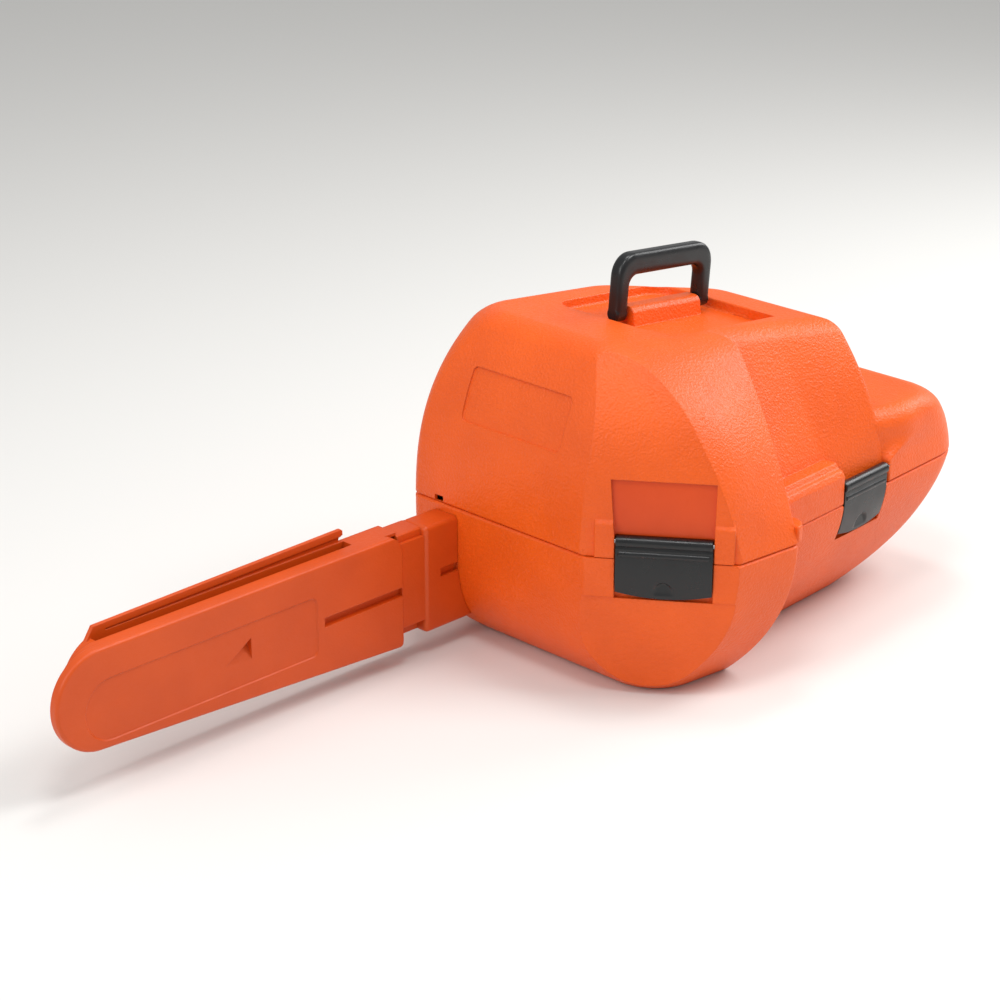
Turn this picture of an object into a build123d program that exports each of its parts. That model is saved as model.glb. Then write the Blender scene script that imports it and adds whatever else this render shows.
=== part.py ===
from build123d import *
import math
import os

# Chainsaw carrying case: a deep moulded base, a domed lid hinged along the far
# side, a bail handle that folds flat on top, two over-edge latches and a
# plug-in sheath for the bar. X runs from the sheath end to the tail, Y from the
# latch side to the hinge side, Z up. The origin is the middle of the flat
# underside.

# Sizes in millimetres.
wall = 3.6                # moulded wall of both shells
small_corner = 5.5        # plan corners up to this radius are bevels

part_z = 137.0            # height of the parting plane
front_x = -227.0          # front wall at the parting plane
tail_x = 243.0            # tail end at the parting plane
far_y = 144.0             # far wall, the hinge side
belly_y = -190.0          # near wall of the belly, in line with the front corner
belly_swell = 6.0         # the belly stands out this much more at its step
step_x = -71.0            # where the belly steps back to the side wall
side_y = -172.0           # side wall just behind the step
tail_y = -152.0           # side wall at the tail end
tail_far_y = 112.0        # far wall at the tail end

# lid
lid_top = 175.0           # rise of the top face above the parting plane, front
top_tilt = 5.5            # fall of the top face towards the tail, degrees
top_round = 15.0          # rounding of the top edge
front_lean = 56.0         # how far the front face leans in up to the top
near_lean = 130.0         # the same for the near face at the front corner
step_lean = 124.0         # the same for the near face at the step
scoop = 18.0              # the side face starts this far in from the side wall
hump_x = 101.0            # rear of the hump
tail_rise = 68.0          # tail height above the parting plane
tail_round = 18.0         # rounding of the tail's upper edge

# base
foot_front = 47.0         # the front wall tucks in this far to the underside
foot_belly = 63.0         # the same for the belly
foot_side = 77.0          # the same for the side wall
foot_tail = 81.0          # the same for the tail end
foot_far = 36.0           # the same for the far wall
rib_t = 3.0               # cradle ribs in the base
rib_h = 24.0
rib_xs = (-130.0, 10.0, 110.0)

# bare recess on the front face of the lid
plate_y0 = -38.0
plate_y1 = 85.0
plate_z0 = 221.0
plate_z1 = 269.0
plate_d = 1.2

# front corner flat, which carries the front latch
corner_x = -188.5         # middle of the corner flat at the parting plane
corner_y = -131.0
corner_turn = 54.0        # heading of the flat below the X axis, degrees
arch_lean = 67.0          # how far the lid's flat curves in up to the top
arch_in = 3.0             # the lid's flat lies this far behind the latch cheeks
foot_lean = 7.0           # lean of the flat in the base, degrees

# latches
front_latch_w = 86.0
front_latch_s = 5.0       # its middle along the corner flat
side_latch_w = 70.0
side_latch_x = 67.0       # middle of the side latch
side_tuck = 8.0           # the side latch leans in at its foot, degrees
latch_drop = 47.0         # pivot to the lower edge of the plate, at its ends
latch_bow = 5.0           # extra drop in the middle
latch_t = 3.2             # plate
latch_z = 16.0            # pivot above the parting plane
latch_in = 3.0            # pivot behind the cheek face
barrel_r = 5.5
pin_r = 2.0               # steel pins of latches and hinges
pin_fit = 0.06            # running fit on the radius
cheek_w = 18.0            # cheeks that carry the latch pins
cheek_h = 39.0            # cheek height above the parting plane
side_gap = 0.8            # plate to cheek
field_h = 72.0            # field above the front latch, up from the parting plane
field_d = 3.0
keeper_t = 3.0            # keeper ridge under each plate
keeper_drop = 33.5        # its lower edge below the pivot
plate_z = 1.0             # back of the plate outside the pivot
pocket_z = 2.5            # pocket floor behind the pivot
pin_seat = 8.0            # pin length in each cheek
pad_drop = 37.0           # the base's latch pads end this far below the parting

# hinge
hinge_r = 5.5             # knuckle
hinge_out = 7.0           # axis outside the far wall
hinge_len = 66.0          # one hinge along X
hinge_xs = (-140.0, 45.0)
hinge_gap = 0.5

# handle
handle_x = -19.5          # middle
handle_y = 23.0
handle_len = 130.0
handle_rise = 57.0        # grip top above the pivot
handle_leg = 14.5
handle_grip = 21.0
handle_t = 14.5
handle_pin_r = 3.0
handle_pin_z = 1.5        # pivot above the top face
ridge_w = 24.0            # ridge between the legs
ridge_h = 8.0             # above the top face
recess_d = 9.5            # finger and fold recess in the top
recess_end = 8.0          # room round the folded handle
run_gap = 3.0             # ridge to the legs

# sheath
sheath_y = 97.0           # middle of its thickness
sheath_w = 32.0
sheath_tip = -683.0
sheath_top = 132.0
sheath_tip_r = 46.0
nose_back = 28.0          # the far side's nose is set back from the near one
sheath_root = -297.0      # neck groove
collar_x = -268.0
collar_bottom = 24.0
neck_in = 13.0
bar_gap = 11.5            # slot for the bar and chain
near_panel = 16.0         # hollow near side of the sheath
near_lip = 9.0            # its face stands past the rest of the nose this thick
lip_back = 9.0            # and this far
sheath_wall = 3.0
rail_rise = 12.0          # the far rail stands above the top band
tenon_end = -188.0        # inner end of the plug
tenon_w = 28.0
tenon_h = 84.0
tenon_z = 80.0
port_gap = 0.5            # plug to port
panel_x0 = -654.0         # bare recessed panel on the near face
panel_x1 = -401.0
panel_z = 75.0
panel_h = 56.0
panel_d = 1.2
dent_x = -478.0           # tapered dent in the panel
dent_w = 26.0
dent_h = 16.0
edge_r = 3.0              # rounding of the near panel's edge
ledge_z = 103.0           # ledge across the neck
key_z = 81.0              # slot in the collar
vent_y = 105.5            # opening in the lid's rim above the sheath
vent_w = 11.0
vent_h = 6.0
socket_len = 30.0

# fractions of the height at which the shells' plan outlines are set
hump_levels = (0.0, 0.16, 0.33, 0.49, 0.64, 0.78)
tail_levels = (0.0, 0.35)
base_levels = (0.0, 0.25, 0.45, 0.62, 0.76, 0.88, 1.0)


def corner_arcs(points):
    """Tangent points and middles of the rounded corners of a closed outline."""
    out = []
    n = len(points)
    for i in range(n):
        px, py, _ = points[i - 1]
        x, y, r = points[i]
        qx, qy, _ = points[(i + 1) % n]
        ax, ay = px - x, py - y
        bx, by = qx - x, qy - y
        la, lb = math.hypot(ax, ay), math.hypot(bx, by)
        ax, ay, bx, by = ax / la, ay / la, bx / lb, by / lb
        ang = math.acos(max(-1, min(1, ax * bx + ay * by)))
        cut = r / math.tan(ang / 2)
        mx, my = ax + bx, ay + by
        lm = math.hypot(mx, my)
        dist = r / math.sin(ang / 2) - r
        out.append(((x + ax * cut, y + ay * cut), (x + mx / lm * dist, y + my / lm * dist),
                    (x + bx * cut, y + by * cut)))
    return out


def inset_points(points, t):
    """The outline moved in by t, with its corner radii to suit."""
    n = len(points)
    lines = []
    for i in range(n):
        x0, y0, _ = points[i]
        x1, y1, _ = points[(i + 1) % n]
        run = math.hypot(x1 - x0, y1 - y0)
        dx, dy = (x1 - x0) / run, (y1 - y0) / run
        lines.append((x0 - dy * t, y0 + dx * t, dx, dy))
    out = []
    for i in range(n):
        ax, ay, adx, ady = lines[i - 1]
        bx, by, bdx, bdy = lines[i]
        det = adx * bdy - ady * bdx
        s = ((bx - ax) * bdy - (by - ay) * bdx) / det
        r = points[i][2]
        if r > small_corner:
            r = max(r - t, small_corner + 0.5) if det > 0 else r + t
        out.append((ax + adx * s, ay + ady * s, r))
    return out


def outline_wire(points, height):
    """Closed wire of lines and arcs, at the height given for each x."""
    arcs = corner_arcs(points)
    edges = []
    for i, (a, m, b) in enumerate(arcs):
        a3, m3, b3 = ((p[0], p[1], height(p[0])) for p in (a, m, b))
        nxt = arcs[(i + 1) % len(arcs)][0]
        edges.append(ThreePointArc(a3, m3, b3) if points[i][2] > small_corner else Line(a3, b3))
        edges.append(Line(b3, (nxt[0], nxt[1], height(nxt[0]))))
    return Wire(edges)


def side_at(x):
    """Side wall at the parting plane, which runs in a little to the tail."""
    return side_y + (tail_y - side_y) * (x - step_x) / (tail_x - step_x)


def top_z(x):
    """Height of the top face above the parting plane."""
    return lid_top - math.tan(math.radians(top_tilt)) * (x - front_x - front_lean)


def hump_points(f):
    """Plan outline of the hump at the fraction f of the way up to the top face."""
    def at(x):
        return f * top_z(x) / lid_top
    t = at(front_x + front_lean)
    x0 = front_x + front_lean * t ** 2.4
    y_c = belly_y + near_lean * (0.28 * t + 0.72 * t ** 4)
    ts = at(step_x + 25)
    xs = step_x + 40.0 * ts ** 1.6
    ys = belly_y - belly_swell + step_lean * (0.55 * ts + 0.45 * ts ** 2)
    slope = (ys - y_c) / (xs + 135.0)
    yc = y_c + slope * (x0 + 135.0)
    rc = 90.0 - 62.0 * t ** 3.5
    y5 = ys + 24.0 + scoop - 15.0 + 18.0 * ts - 38.0 * ts ** 3
    tm = at(20)
    ym = side_y + scoop + 86.0 * tm ** 1.3
    tr = at(hump_x)
    x7 = hump_x + 10.0 * (1 - tr)
    y6 = side_y + scoop + 84.0 * tr ** 2.2
    if y6 > ym - 1:
        ym = y6 + 1
    return [(x0, far_y - 5.0 * t - 8.0 * t ** 3, 12.0 + 36.0 * t ** 3), (x0, yc, rc), (xs, ys, 4.0), (xs + 1.0, y5, 4.0),
            (25.0, ym, 60.0), (x7, y6, 8.0), (x7, 80.0 - 30.0 * t, 35.0),
            (50.0 - 45.0 * t, far_y - 7.0 * t - 12.0 * t ** 3, 60.0)]


def tail_points(t):
    """Plan outline of the tail at the fraction t of its rise, with the latch pocket's end."""
    x1 = tail_x - 38.0 * t ** 2
    yn = 3.0 * t
    yf = 8.0 * t
    xp = side_latch_x + side_latch_w / 2 + side_gap
    return [(30.0, far_y - 1.5 - yf, 8.0), (30.0, side_y + 52.0, 4.0), (xp, side_y + 21.0 + yn, 2.0),
            (xp + 4.0, side_at(xp) + yn, 2.0), (x1, side_at(x1) + yn, 48.0), (x1, tail_far_y - yf, 50.0),
            (110.0, far_y - 1.5 - yf, 60.0)]


def base_points(t):
    """Plan outline of the base at the fraction t of the way down."""
    x0 = front_x + foot_front * t ** 4.5
    nb = foot_belly * t ** 2.4
    ns = foot_side * t ** 1.7
    x1 = tail_x - foot_tail * (0.56 * t + 0.44 * t ** 6)
    xs = step_x - 19.0 * t ** 1.5
    yf = foot_far * t ** 6
    ys = belly_y - belly_swell + nb
    slope = -belly_swell / (step_x + 135.0)
    yc = belly_y + nb + slope * (x0 + 135.0)
    y5 = side_at(xs + 2) + ns
    return [(x0, far_y - yf, 12.0 + 20 * t ** 2), (x0, yc, 90.0 - 45.0 * t), (xs, ys, 5.0), (xs + 1.0, y5, 3.0),
            (x1, side_at(x1) + ns, 48.0), (x1, tail_far_y - yf, 50.0),
            (110.0 - 60.0 * t ** 4, far_y - yf, 80.0 - 20 * t)]


def skin(points_at, levels, height_at, inset=0.0):
    """Smooth loft through plan outlines, given as (level, extra inset) pairs."""
    wires = []
    for t, rounding in levels:
        pts = points_at(t)
        if inset + rounding:
            pts = inset_points(pts, inset + rounding)
        wires.append(outline_wire(pts, height_at(t)))
    return Solid.make_loft(wires, ruled=True)


def domed(points_at, levels, radius, rise, height_at, inset):
    """Loft with a rounded upper edge: the walls, then the rounding above them."""
    start = 1.0 - radius / rise
    walls = skin(points_at, [(t, 0.0) for t in levels] + [(start, 0.0)], height_at, inset)
    last = math.sin(math.radians(76))
    turn = [math.radians(d) for d in (0, 25, 50, 76)]
    cap = skin(points_at, [(start + (1 - start) * math.sin(a) / last, radius * (1 - math.cos(a))) for a in turn],
               height_at, inset)
    return walls + cap


def hump(inset=0.0):
    """Hump of the lid, or its hollow when inset."""
    def height_at(t):
        return lambda x: part_z + t * (top_z(x) - inset)
    return domed(hump_points, hump_levels, top_round, lid_top, height_at, inset)


def hump_walls(inset):
    """The hump's walls alone, for a recess of even depth."""
    def height_at(t):
        return lambda x: part_z + t * top_z(x)
    return skin(hump_points, [(t, 0.0) for t in hump_levels + (1.0 - top_round / lid_top,)], height_at, inset)


def tail(inset=0.0):
    """Tail of the lid, or its hollow when inset."""
    def height_at(t):
        return lambda x: part_z + t * (tail_rise - inset)
    return domed(tail_points, tail_levels, tail_round, tail_rise, height_at, inset)


def base_body(inset=0.0):
    """Base from the parting plane down, or its hollow when inset."""
    def height_at(t):
        return lambda x: part_z - t * (part_z - max(inset, 0))
    return skin(base_points, [(t, 0.0) for t in base_levels], height_at, inset)


def corner_frame(out=0.0, up=0.0):
    """Frame on the corner flat: X along it, Y up, Z outward, at the front latch."""
    a = math.radians(corner_turn)
    n = (-math.sin(a), -math.cos(a))
    d = (math.cos(a), -math.sin(a))
    return Plane(origin=(corner_x + n[0] * out + d[0] * front_latch_s,
                         corner_y + n[1] * out + d[1] * front_latch_s, part_z + up),
                 x_dir=(d[0], d[1], 0), z_dir=(n[0], n[1], 0))


def side_frame(out=0.0, up=0.0):
    """Frame on the side wall: X along it, Y up, Z outward, at the side latch."""
    a = math.atan2(tail_y - side_y, tail_x - step_x)
    n = (math.sin(a), -math.cos(a))
    return Plane(origin=(side_latch_x + n[0] * out, side_at(side_latch_x) + n[1] * out, part_z + up),
                 x_dir=(math.cos(a), math.sin(a), 0), z_dir=(n[0], n[1], 0))


def top_frame(x, y, out=0.0):
    """Frame on the top face: X down the slope, Y to the hinge side, Z outward."""
    a = math.radians(top_tilt)
    return Plane(origin=(x + math.sin(a) * out, y, part_z + top_z(x) + math.cos(a) * out),
                 x_dir=(math.cos(a), 0, -math.sin(a)), z_dir=(math.sin(a), 0, math.cos(a)))


def tipped(plane, angle):
    """The frame turned about its own X axis."""
    return Plane(plane.location * Rot(angle, 0, 0))


def front_pivot():
    return corner_frame(-latch_in, latch_z)


def side_pivot():
    return tipped(side_frame(-latch_in, latch_z), side_tuck)


def handle_pivot():
    return top_frame(handle_x, handle_y, handle_pin_z)


def block(plane, x0, x1, y0, y1, z0, z1):
    """Box between the given limits in a frame."""
    return plane * Pos((x0 + x1) / 2, (y0 + y1) / 2, (z0 + z1) / 2) * Box(x1 - x0, y1 - y0, z1 - z0)


def along_x(plane, x0, x1, points):
    """Prism along the frame's X through a profile of (out, up) points."""
    face = make_face(Polyline(*[(x0, y, z) for z, y in points], close=True))
    return plane * extrude(face, amount=x1 - x0, dir=(1, 0, 0))


def rod_x(plane, x0, x1, y, z, r):
    """Cylinder along the frame's X."""
    return plane * Pos((x0 + x1) / 2, y, z) * Rot(0, 90, 0) * Cylinder(r, x1 - x0)


def corner_cut(up, out, lean, inset=0.0):
    """Everything outside the corner flat, which leans about the height given."""
    p = tipped(corner_frame(-out - inset, up), -lean)
    return block(p, -300, 300, -400, 400, 0, 200)


def lid_flat(inset=0.0):
    """Everything outside the lid's corner flat, which curves in towards the top."""
    pts = [(-inset - arch_in - arch_lean * max(t, 0) ** 3.2, t * lid_top) for t in
           (-0.01, 0.12, 0.3, 0.46, 0.62, 0.78, 0.92, 1.06)]
    curve = Spline(*[(-220, u, z) for z, u in pts])
    a, b = curve @ 0, curve @ 1
    face = make_face([curve, Line(b, (-220, b.Y, 200)), Line((-220, b.Y, 200), (-220, a.Y, 200)),
                      Line((-220, a.Y, 200), a)])
    return corner_frame() * extrude(face, amount=440, dir=(1, 0, 0))


def base_flat(inset=0.0):
    """The base's flat is upright beside the latch and leans in below it."""
    upper = corner_cut(0, 0, 0, inset)
    below = block(corner_frame(0, -pad_drop), -300, 300, -400, -inset, -400, 400)
    return upper + (corner_cut(-pad_drop, 1.5, -foot_lean, inset) & below)


def front_cheeks():
    """Bevelled cheeks on the lid, one on each side of the front latch."""
    half = front_latch_w / 2 + side_gap
    out = None
    for x0, x1 in ((-half - cheek_w, -half), (half, half + cheek_w)):
        c = along_x(corner_frame(), x0, x1,
                    [(-26, 0), (0, 0), (0, cheek_h - 7), (-3, cheek_h - 1), (-8, cheek_h + 1), (-26, cheek_h + 1)])
        out = c if out is None else out + c
    return out


def field(inset=0.0):
    """Recessed field above the front latch."""
    w = front_latch_w / 2 + 3.0 + inset
    return lid_flat(field_d + inset) & block(corner_frame(), -w, w, -0.5, field_h + inset, -120, 60)


def boss(inset=0.0):
    """Ledge between the belly step and the side latch, at the rim."""
    x1 = -side_latch_w / 2 - side_gap
    x0 = step_x - side_latch_x + 2.0
    if inset:
        return along_x(side_frame(), x0 + inset, x1 - 12.0,
                       [(-30, -1), (-inset, -1), (-inset, 30), (-8, 32), (-12, 36), (-30, 36)])
    return along_x(side_frame(), x0 - 4, x1, [(-30, 0), (0, 0), (0, 30), (-4, 35), (-7.5, 35.5), (-11, 40), (-30, 40)])


def gusset():
    """Small wedge in the corner behind the belly step."""
    pts = [(step_x - 2, belly_y - belly_swell + 2), (step_x + 13, side_y - 5), (step_x + 13, side_y + 4),
           (step_x - 2, side_y + 4)]
    face = make_face(Polyline(*[(x, y, part_z) for x, y in pts], close=True))
    return extrude(face, amount=15, dir=(0, 0, 1))


def ridge():
    """Ridge between the handle's legs, which holds its pins."""
    half = handle_len / 2 - handle_leg - run_gap
    w = ridge_w / 2
    h = ridge_h - handle_pin_z
    low = -recess_d - handle_pin_z - 2
    return along_x(handle_pivot(), -half, half,
                   [(low, -w - 2), (h - 4.5, -w + 1), (h - 1, -w + 4), (h, -w + 7), (h, w - 7), (h - 1, w - 4),
                    (h - 4.5, w - 1), (low, w + 2)])


def recess(inset=0.0):
    """Recess that the handle folds into, to either side."""
    f = top_frame(handle_x, handle_y)
    w = 2 * (handle_rise + recess_end) + 2 * inset
    l = handle_len + 2 * recess_end + 2 * inset
    plan = RectangleRounded(l, w, 20 + inset)
    return f * extrude(Pos(0, 0, -recess_d - inset) * plan, amount=recess_d + inset + 30)


def knuckles(on_lid):
    """Hinge knuckles of one shell, with the webs that carry them."""
    out = None
    step = hinge_len / 3
    for cx in hinge_xs:
        for i in ((1,) if on_lid else (0, 2)):
            x0 = cx - hinge_len / 2 + i * step + hinge_gap / 2
            x1 = x0 + step - hinge_gap
            k = rod_x(Plane.XY, x0, x1, far_y + hinge_out, part_z, hinge_r)
            s = 1 if on_lid else -1
            z0, z1 = sorted((part_z + s * 0.2, part_z + s * 10))
            k = k + (block(Plane.XY, x0, x1, far_y - wall + 0.3, far_y + hinge_out, z0, z1)
                     & rod_x(Plane.XY, x0, x1, far_y - 3, part_z, hinge_out + 3 + hinge_r * 0.6))
            out = k if out is None else out + k
    return out


def pin_bores():
    """Bores for the hinge pins."""
    out = None
    for cx in hinge_xs:
        b = rod_x(Plane.XY, cx - hinge_len / 2 - 1, cx + hinge_len / 2 + 1, far_y + hinge_out, part_z, pin_r + pin_fit)
        out = b if out is None else out + b
    return out


def hinge_pins():
    """One steel pin through each hinge."""
    out = None
    for cx in hinge_xs:
        p = rod_x(Plane.XY, cx - hinge_len / 2, cx + hinge_len / 2, far_y + hinge_out, part_z, pin_r)
        out = p if out is None else out + p
    return out


def latch_pin(pivot, width):
    return rod_x(pivot, -width / 2 - side_gap - pin_seat, width / 2 + side_gap + pin_seat, 0, 0, pin_r)


def latch_bore(pivot, width):
    n = pin_seat + side_gap + 0.2
    return rod_x(pivot, -width / 2 - n, width / 2 + n, 0, 0, pin_r + pin_fit)


def latch_pocket(pivot, width, inset=0.0):
    """Pocket in the base behind a latch plate."""
    w = width / 2 + side_gap + inset
    return block(pivot, -w, w, -latch_drop - latch_bow - 2.0 - inset, -latch_z + 3.0,
                 -pocket_z - inset, 60)


def keeper(pivot, width):
    """Ridge on the pocket floor that the plate snaps over."""
    w = width / 2 - 10
    return block(pivot, -w, w, -keeper_drop, -keeper_drop + keeper_t, -pocket_z - 2, plate_z - 0.6)


def latch(width):
    """Latch in its own frame: X along the pivot, Y up, Z outward, pivot at zero."""
    half = width / 2
    low = latch_drop + latch_bow
    zf = plate_z + latch_t
    end = -low - 1
    front = ThreePointArc((0, -4, zf), (0, -low / 2, zf + 1.8), (0, end, zf - 0.4))
    back = ThreePointArc((0, end, zf - 0.4 - latch_t), (0, -low / 2, plate_z + 1.2), (0, -4, plate_z))
    face = make_face([front, Line((0, end, zf - 0.4), (0, end, zf - 0.4 - latch_t)), back,
                      Line((0, -4, plate_z), (0, -4, zf))])
    plate = extrude(Pos(-half, 0, 0) * face, amount=width, dir=(1, 0, 0))
    trim = make_face([ThreePointArc((-half - 1, -latch_drop + 0.5, 0), (0, -low, 0), (half + 1, -latch_drop + 0.5, 0)),
                      Line((half + 1, -latch_drop + 0.5, 0), (half + 1, 20, 0)),
                      Line((half + 1, 20, 0), (-half - 1, 20, 0)),
                      Line((-half - 1, 20, 0), (-half - 1, -latch_drop + 0.5, 0))])
    plate = plate & (Pos(0, 0, -10) * extrude(trim, amount=40, dir=(0, 0, 1)))
    plate = plate + rod_x(Plane.XY, -half, half, 0, 0, barrel_r)
    plate = plate + block(Plane.XY, -half, half, -7, 0, 0.5, zf - 0.2)
    plate = plate + rod_x(Plane.XY, -half + 3, half - 3, -10.5, zf - 1.2, 3.0)
    hook_w = half - 11
    plate = plate + along_x(Plane.XY, -hook_w, hook_w,
                            [(plate_z + 1.6, -keeper_drop - 0.5), (-pocket_z + 0.6, -keeper_drop - 0.5),
                             (-pocket_z + 0.6, -keeper_drop - 2.5), (plate_z + 1.6, -keeper_drop - 6)])
    plate = plate - (Pos(0, -latch_drop + 4.0, zf + 8.4) * Rot(90, 0, 0) * Sphere(10.0))
    return plate - rod_x(Plane.XY, -half - 1, half + 1, 0, 0, pin_r + pin_fit)


def handle():
    """Bail handle in its pivot frame: X along the pins, Y across, Z up."""
    half = handle_len / 2
    top = handle_rise
    low = -handle_t / 2
    outer = make_face([Line((-half, 0, low), (-half, 0, top - 24)),
                       ThreePointArc((-half, 0, top - 24), (-half + 7, 0, top - 7), (-half + 24, 0, top)),
                       Line((-half + 24, 0, top), (half - 24, 0, top)),
                       ThreePointArc((half - 24, 0, top), (half - 7, 0, top - 7), (half, 0, top - 24)),
                       Line((half, 0, top - 24), (half, 0, low)), Line((half, 0, low), (half - handle_leg, 0, low)),
                       Line((half - handle_leg, 0, low), (half - handle_leg, 0, top - handle_grip - 10)),
                       ThreePointArc((half - handle_leg, 0, top - handle_grip - 10),
                                     (half - handle_leg - 2.9, 0, top - handle_grip - 2.9),
                                     (half - handle_leg - 10, 0, top - handle_grip)),
                       Line((half - handle_leg - 10, 0, top - handle_grip),
                            (-half + handle_leg + 10, 0, top - handle_grip)),
                       ThreePointArc((-half + handle_leg + 10, 0, top - handle_grip),
                                     (-half + handle_leg + 2.9, 0, top - handle_grip - 2.9),
                                     (-half + handle_leg, 0, top - handle_grip - 10)),
                       Line((-half + handle_leg, 0, top - handle_grip - 10), (-half + handle_leg, 0, low)),
                       Line((-half + handle_leg, 0, low), (-half, 0, low))])
    body = extrude(outer, amount=handle_t / 2, dir=(0, 1, 0), both=True)
    sides = [e for e in body.edges() if abs(abs(e.center().Y) - handle_t / 2) < 0.01 and e.center().Z > low + 1]
    body = fillet(sides, 6.0)
    foot = rod_x(Plane.XY, -half - 1, half + 1, 0, 0, handle_t / 2)
    body = body & (foot + block(Plane.XY, -half - 1, half + 1, -30, 30, 0, top + 5))
    seat = half - 3.0
    return body - rod_x(Plane.XY, -seat, seat, 0, 0, handle_pin_r + pin_fit)


def handle_pins():
    """The two pins that join the handle to the ridge."""
    inner = handle_len / 2 - handle_leg - run_gap - 15
    outer = handle_len / 2 - 3.4
    return rod_x(Plane.XY, -outer, -inner, 0, 0, handle_pin_r) + rod_x(Plane.XY, inner, outer, 0, 0, handle_pin_r)


def xz_prism(points, y0, y1):
    """Prism across Y through a profile of (x, z) points."""
    face = make_face(Polyline(*[(x, y0, z) for x, z in points], close=True))
    return extrude(face, amount=y1 - y0, dir=(0, 1, 0))


def sheath_plan(drop, x1, y0, y1, back=0.0):
    """Side outline of the sheath, from the round nose to x1, drawn in by drop."""
    r = sheath_tip_r - drop
    cx = sheath_tip + sheath_tip_r + back
    zt, zb = sheath_top - drop, collar_bottom + 14 + drop
    cz = sheath_top - sheath_tip_r
    root = collar_bottom - 4 + drop
    zl = cz - r
    face = make_face([Line((x1, y0, root), (x1, y0, zt)), Line((x1, y0, zt), (cx, y0, zt)),
                      ThreePointArc((cx, y0, zt), (cx - r, y0, cz), (cx, y0, zl)), Line((cx, y0, zl), (x1, y0, root))])
    return extrude(face, amount=y1 - y0, dir=(0, 1, 0))


def face_panel(yn):
    """Shallow recess in the near face, round at the nose end."""
    r = panel_h / 2
    box = block(Plane.XY, panel_x0 + r, panel_x1, yn - 1, yn + panel_d, panel_z - r, panel_z + r)
    nose = Pos(panel_x0 + r, yn - 1 + (panel_d + 1) / 2, panel_z) * Rot(90, 0, 0) * Cylinder(r, panel_d + 1)
    return box + nose


def dent(yn):
    """Triangular dent in the panel, deepest at its upright edge."""
    return xz_prism([(dent_x, panel_z + 3 + dent_h / 2), (dent_x - dent_w, panel_z + 3 - dent_h / 2),
                     (dent_x, panel_z + 3 - dent_h / 2)], yn, yn + panel_d + 1)


def sheath():
    """Bar sheath: hollow near panel, open slot, far rail, neck, collar and plug."""
    yn, yf = sheath_y - sheath_w / 2, sheath_y + sheath_w / 2
    ys = yn + near_panel
    body = sheath_plan(0, sheath_root, yn, yn + near_lip)
    body = fillet([e for e in body.edges() if abs(e.center().Y - yn) < 0.01], edge_r)
    body = body + sheath_plan(0, sheath_root, yn + near_lip, ys, lip_back)
    body = body + sheath_plan(0, sheath_root, ys, yf, nose_back)
    slot = sheath_plan(sheath_wall + 3, sheath_root - 40, ys, ys + bar_gap, nose_back)
    slot = slot + block(Plane.XY, sheath_tip + nose_back + 30, sheath_root - 47, ys, ys + bar_gap, sheath_top - 30,
                        sheath_top + 5)
    body = body - slot
    hollow = sheath_plan(sheath_wall, sheath_root + 1, yn + sheath_wall, ys - sheath_wall, lip_back)
    body = body - hollow
    rail = xz_prism([(sheath_tip + 44, sheath_top - 18), (sheath_tip + 61, sheath_top + rail_rise - 5),
                     (sheath_root - 47, sheath_top + rail_rise), (sheath_root - 47, sheath_top - 18)],
                    ys + bar_gap, yf)
    catch = Pos(sheath_root - 47.5, yf, sheath_top + rail_rise - 10) * Rot(90, 0, 0) * Cylinder(4, 40)
    body = body + (rail - catch)
    neck = block(Plane.XY, sheath_root - 4, collar_x + 4, yn + neck_in, yf, collar_bottom + 2, sheath_top - 4)
    collar = block(Plane.XY, collar_x, front_x + 40, yn, yf, collar_bottom, sheath_top - 2)
    edges = [e for e in collar.edges() if abs(e.length - (front_x + 40 - collar_x)) < 0.1]
    collar = fillet(edges, 5.0)
    collar = collar - base_body(-0.45)
    plug = block(Plane.XY, sheath_root - 4, tenon_end, sheath_y - tenon_w / 2, sheath_y + tenon_w / 2,
                 tenon_z - tenon_h / 2, tenon_z + tenon_h / 2)
    out = body + neck + collar + plug
    bar = block(Plane.XY, sheath_root - 60, tenon_end + 1, ys, ys + bar_gap, tenon_z - tenon_h / 2 + 4,
                tenon_z + tenon_h / 2 - 4)
    out = out - bar
    ledge = block(Plane.XY, sheath_root - 1, collar_x + 1, yn + neck_in / 2, yf, ledge_z, sheath_top - 4)
    keyway = block(Plane.XY, sheath_root - 95, sheath_root + 1, yn - 1, yn + sheath_wall + 0.5, 71.5, 80.5)
    key = block(Plane.XY, collar_x + 19, front_x - 1, yn - 1, yn + 3, key_z - 3, key_z + 3)
    return out + ledge - bar - keyway - key - face_panel(yn) - dent(yn)


def socket():
    """Sleeve inside the front wall that guides the plug."""
    y = tenon_w / 2 + port_gap + 2.5
    z = tenon_h / 2 + port_gap + 2.5
    return block(Plane.XY, front_x - 5, front_x + socket_len, sheath_y - y, sheath_y + y, tenon_z - z, tenon_z + z)


def port():
    y = tenon_w / 2 + port_gap
    z = tenon_h / 2 + port_gap
    return block(Plane.XY, front_x - 30, front_x + socket_len + 20, sheath_y - y, sheath_y + y, tenon_z - z, tenon_z + z)


def cradle(hollow):
    """Saddle ribs across the floor of the base, clipped to its hollow."""
    out = None
    for x in rib_xs:
        rib = block(Plane.XY, x - rib_t / 2, x + rib_t / 2, -220, 220, 0, wall + rib_h + 22)
        rib = rib - rod_x(Plane.XY, x - rib_t, x + rib_t, 0, wall + rib_h + 160, 160)
        rib = rib & hollow
        out = rib if out is None else out + rib
    return out


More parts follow.
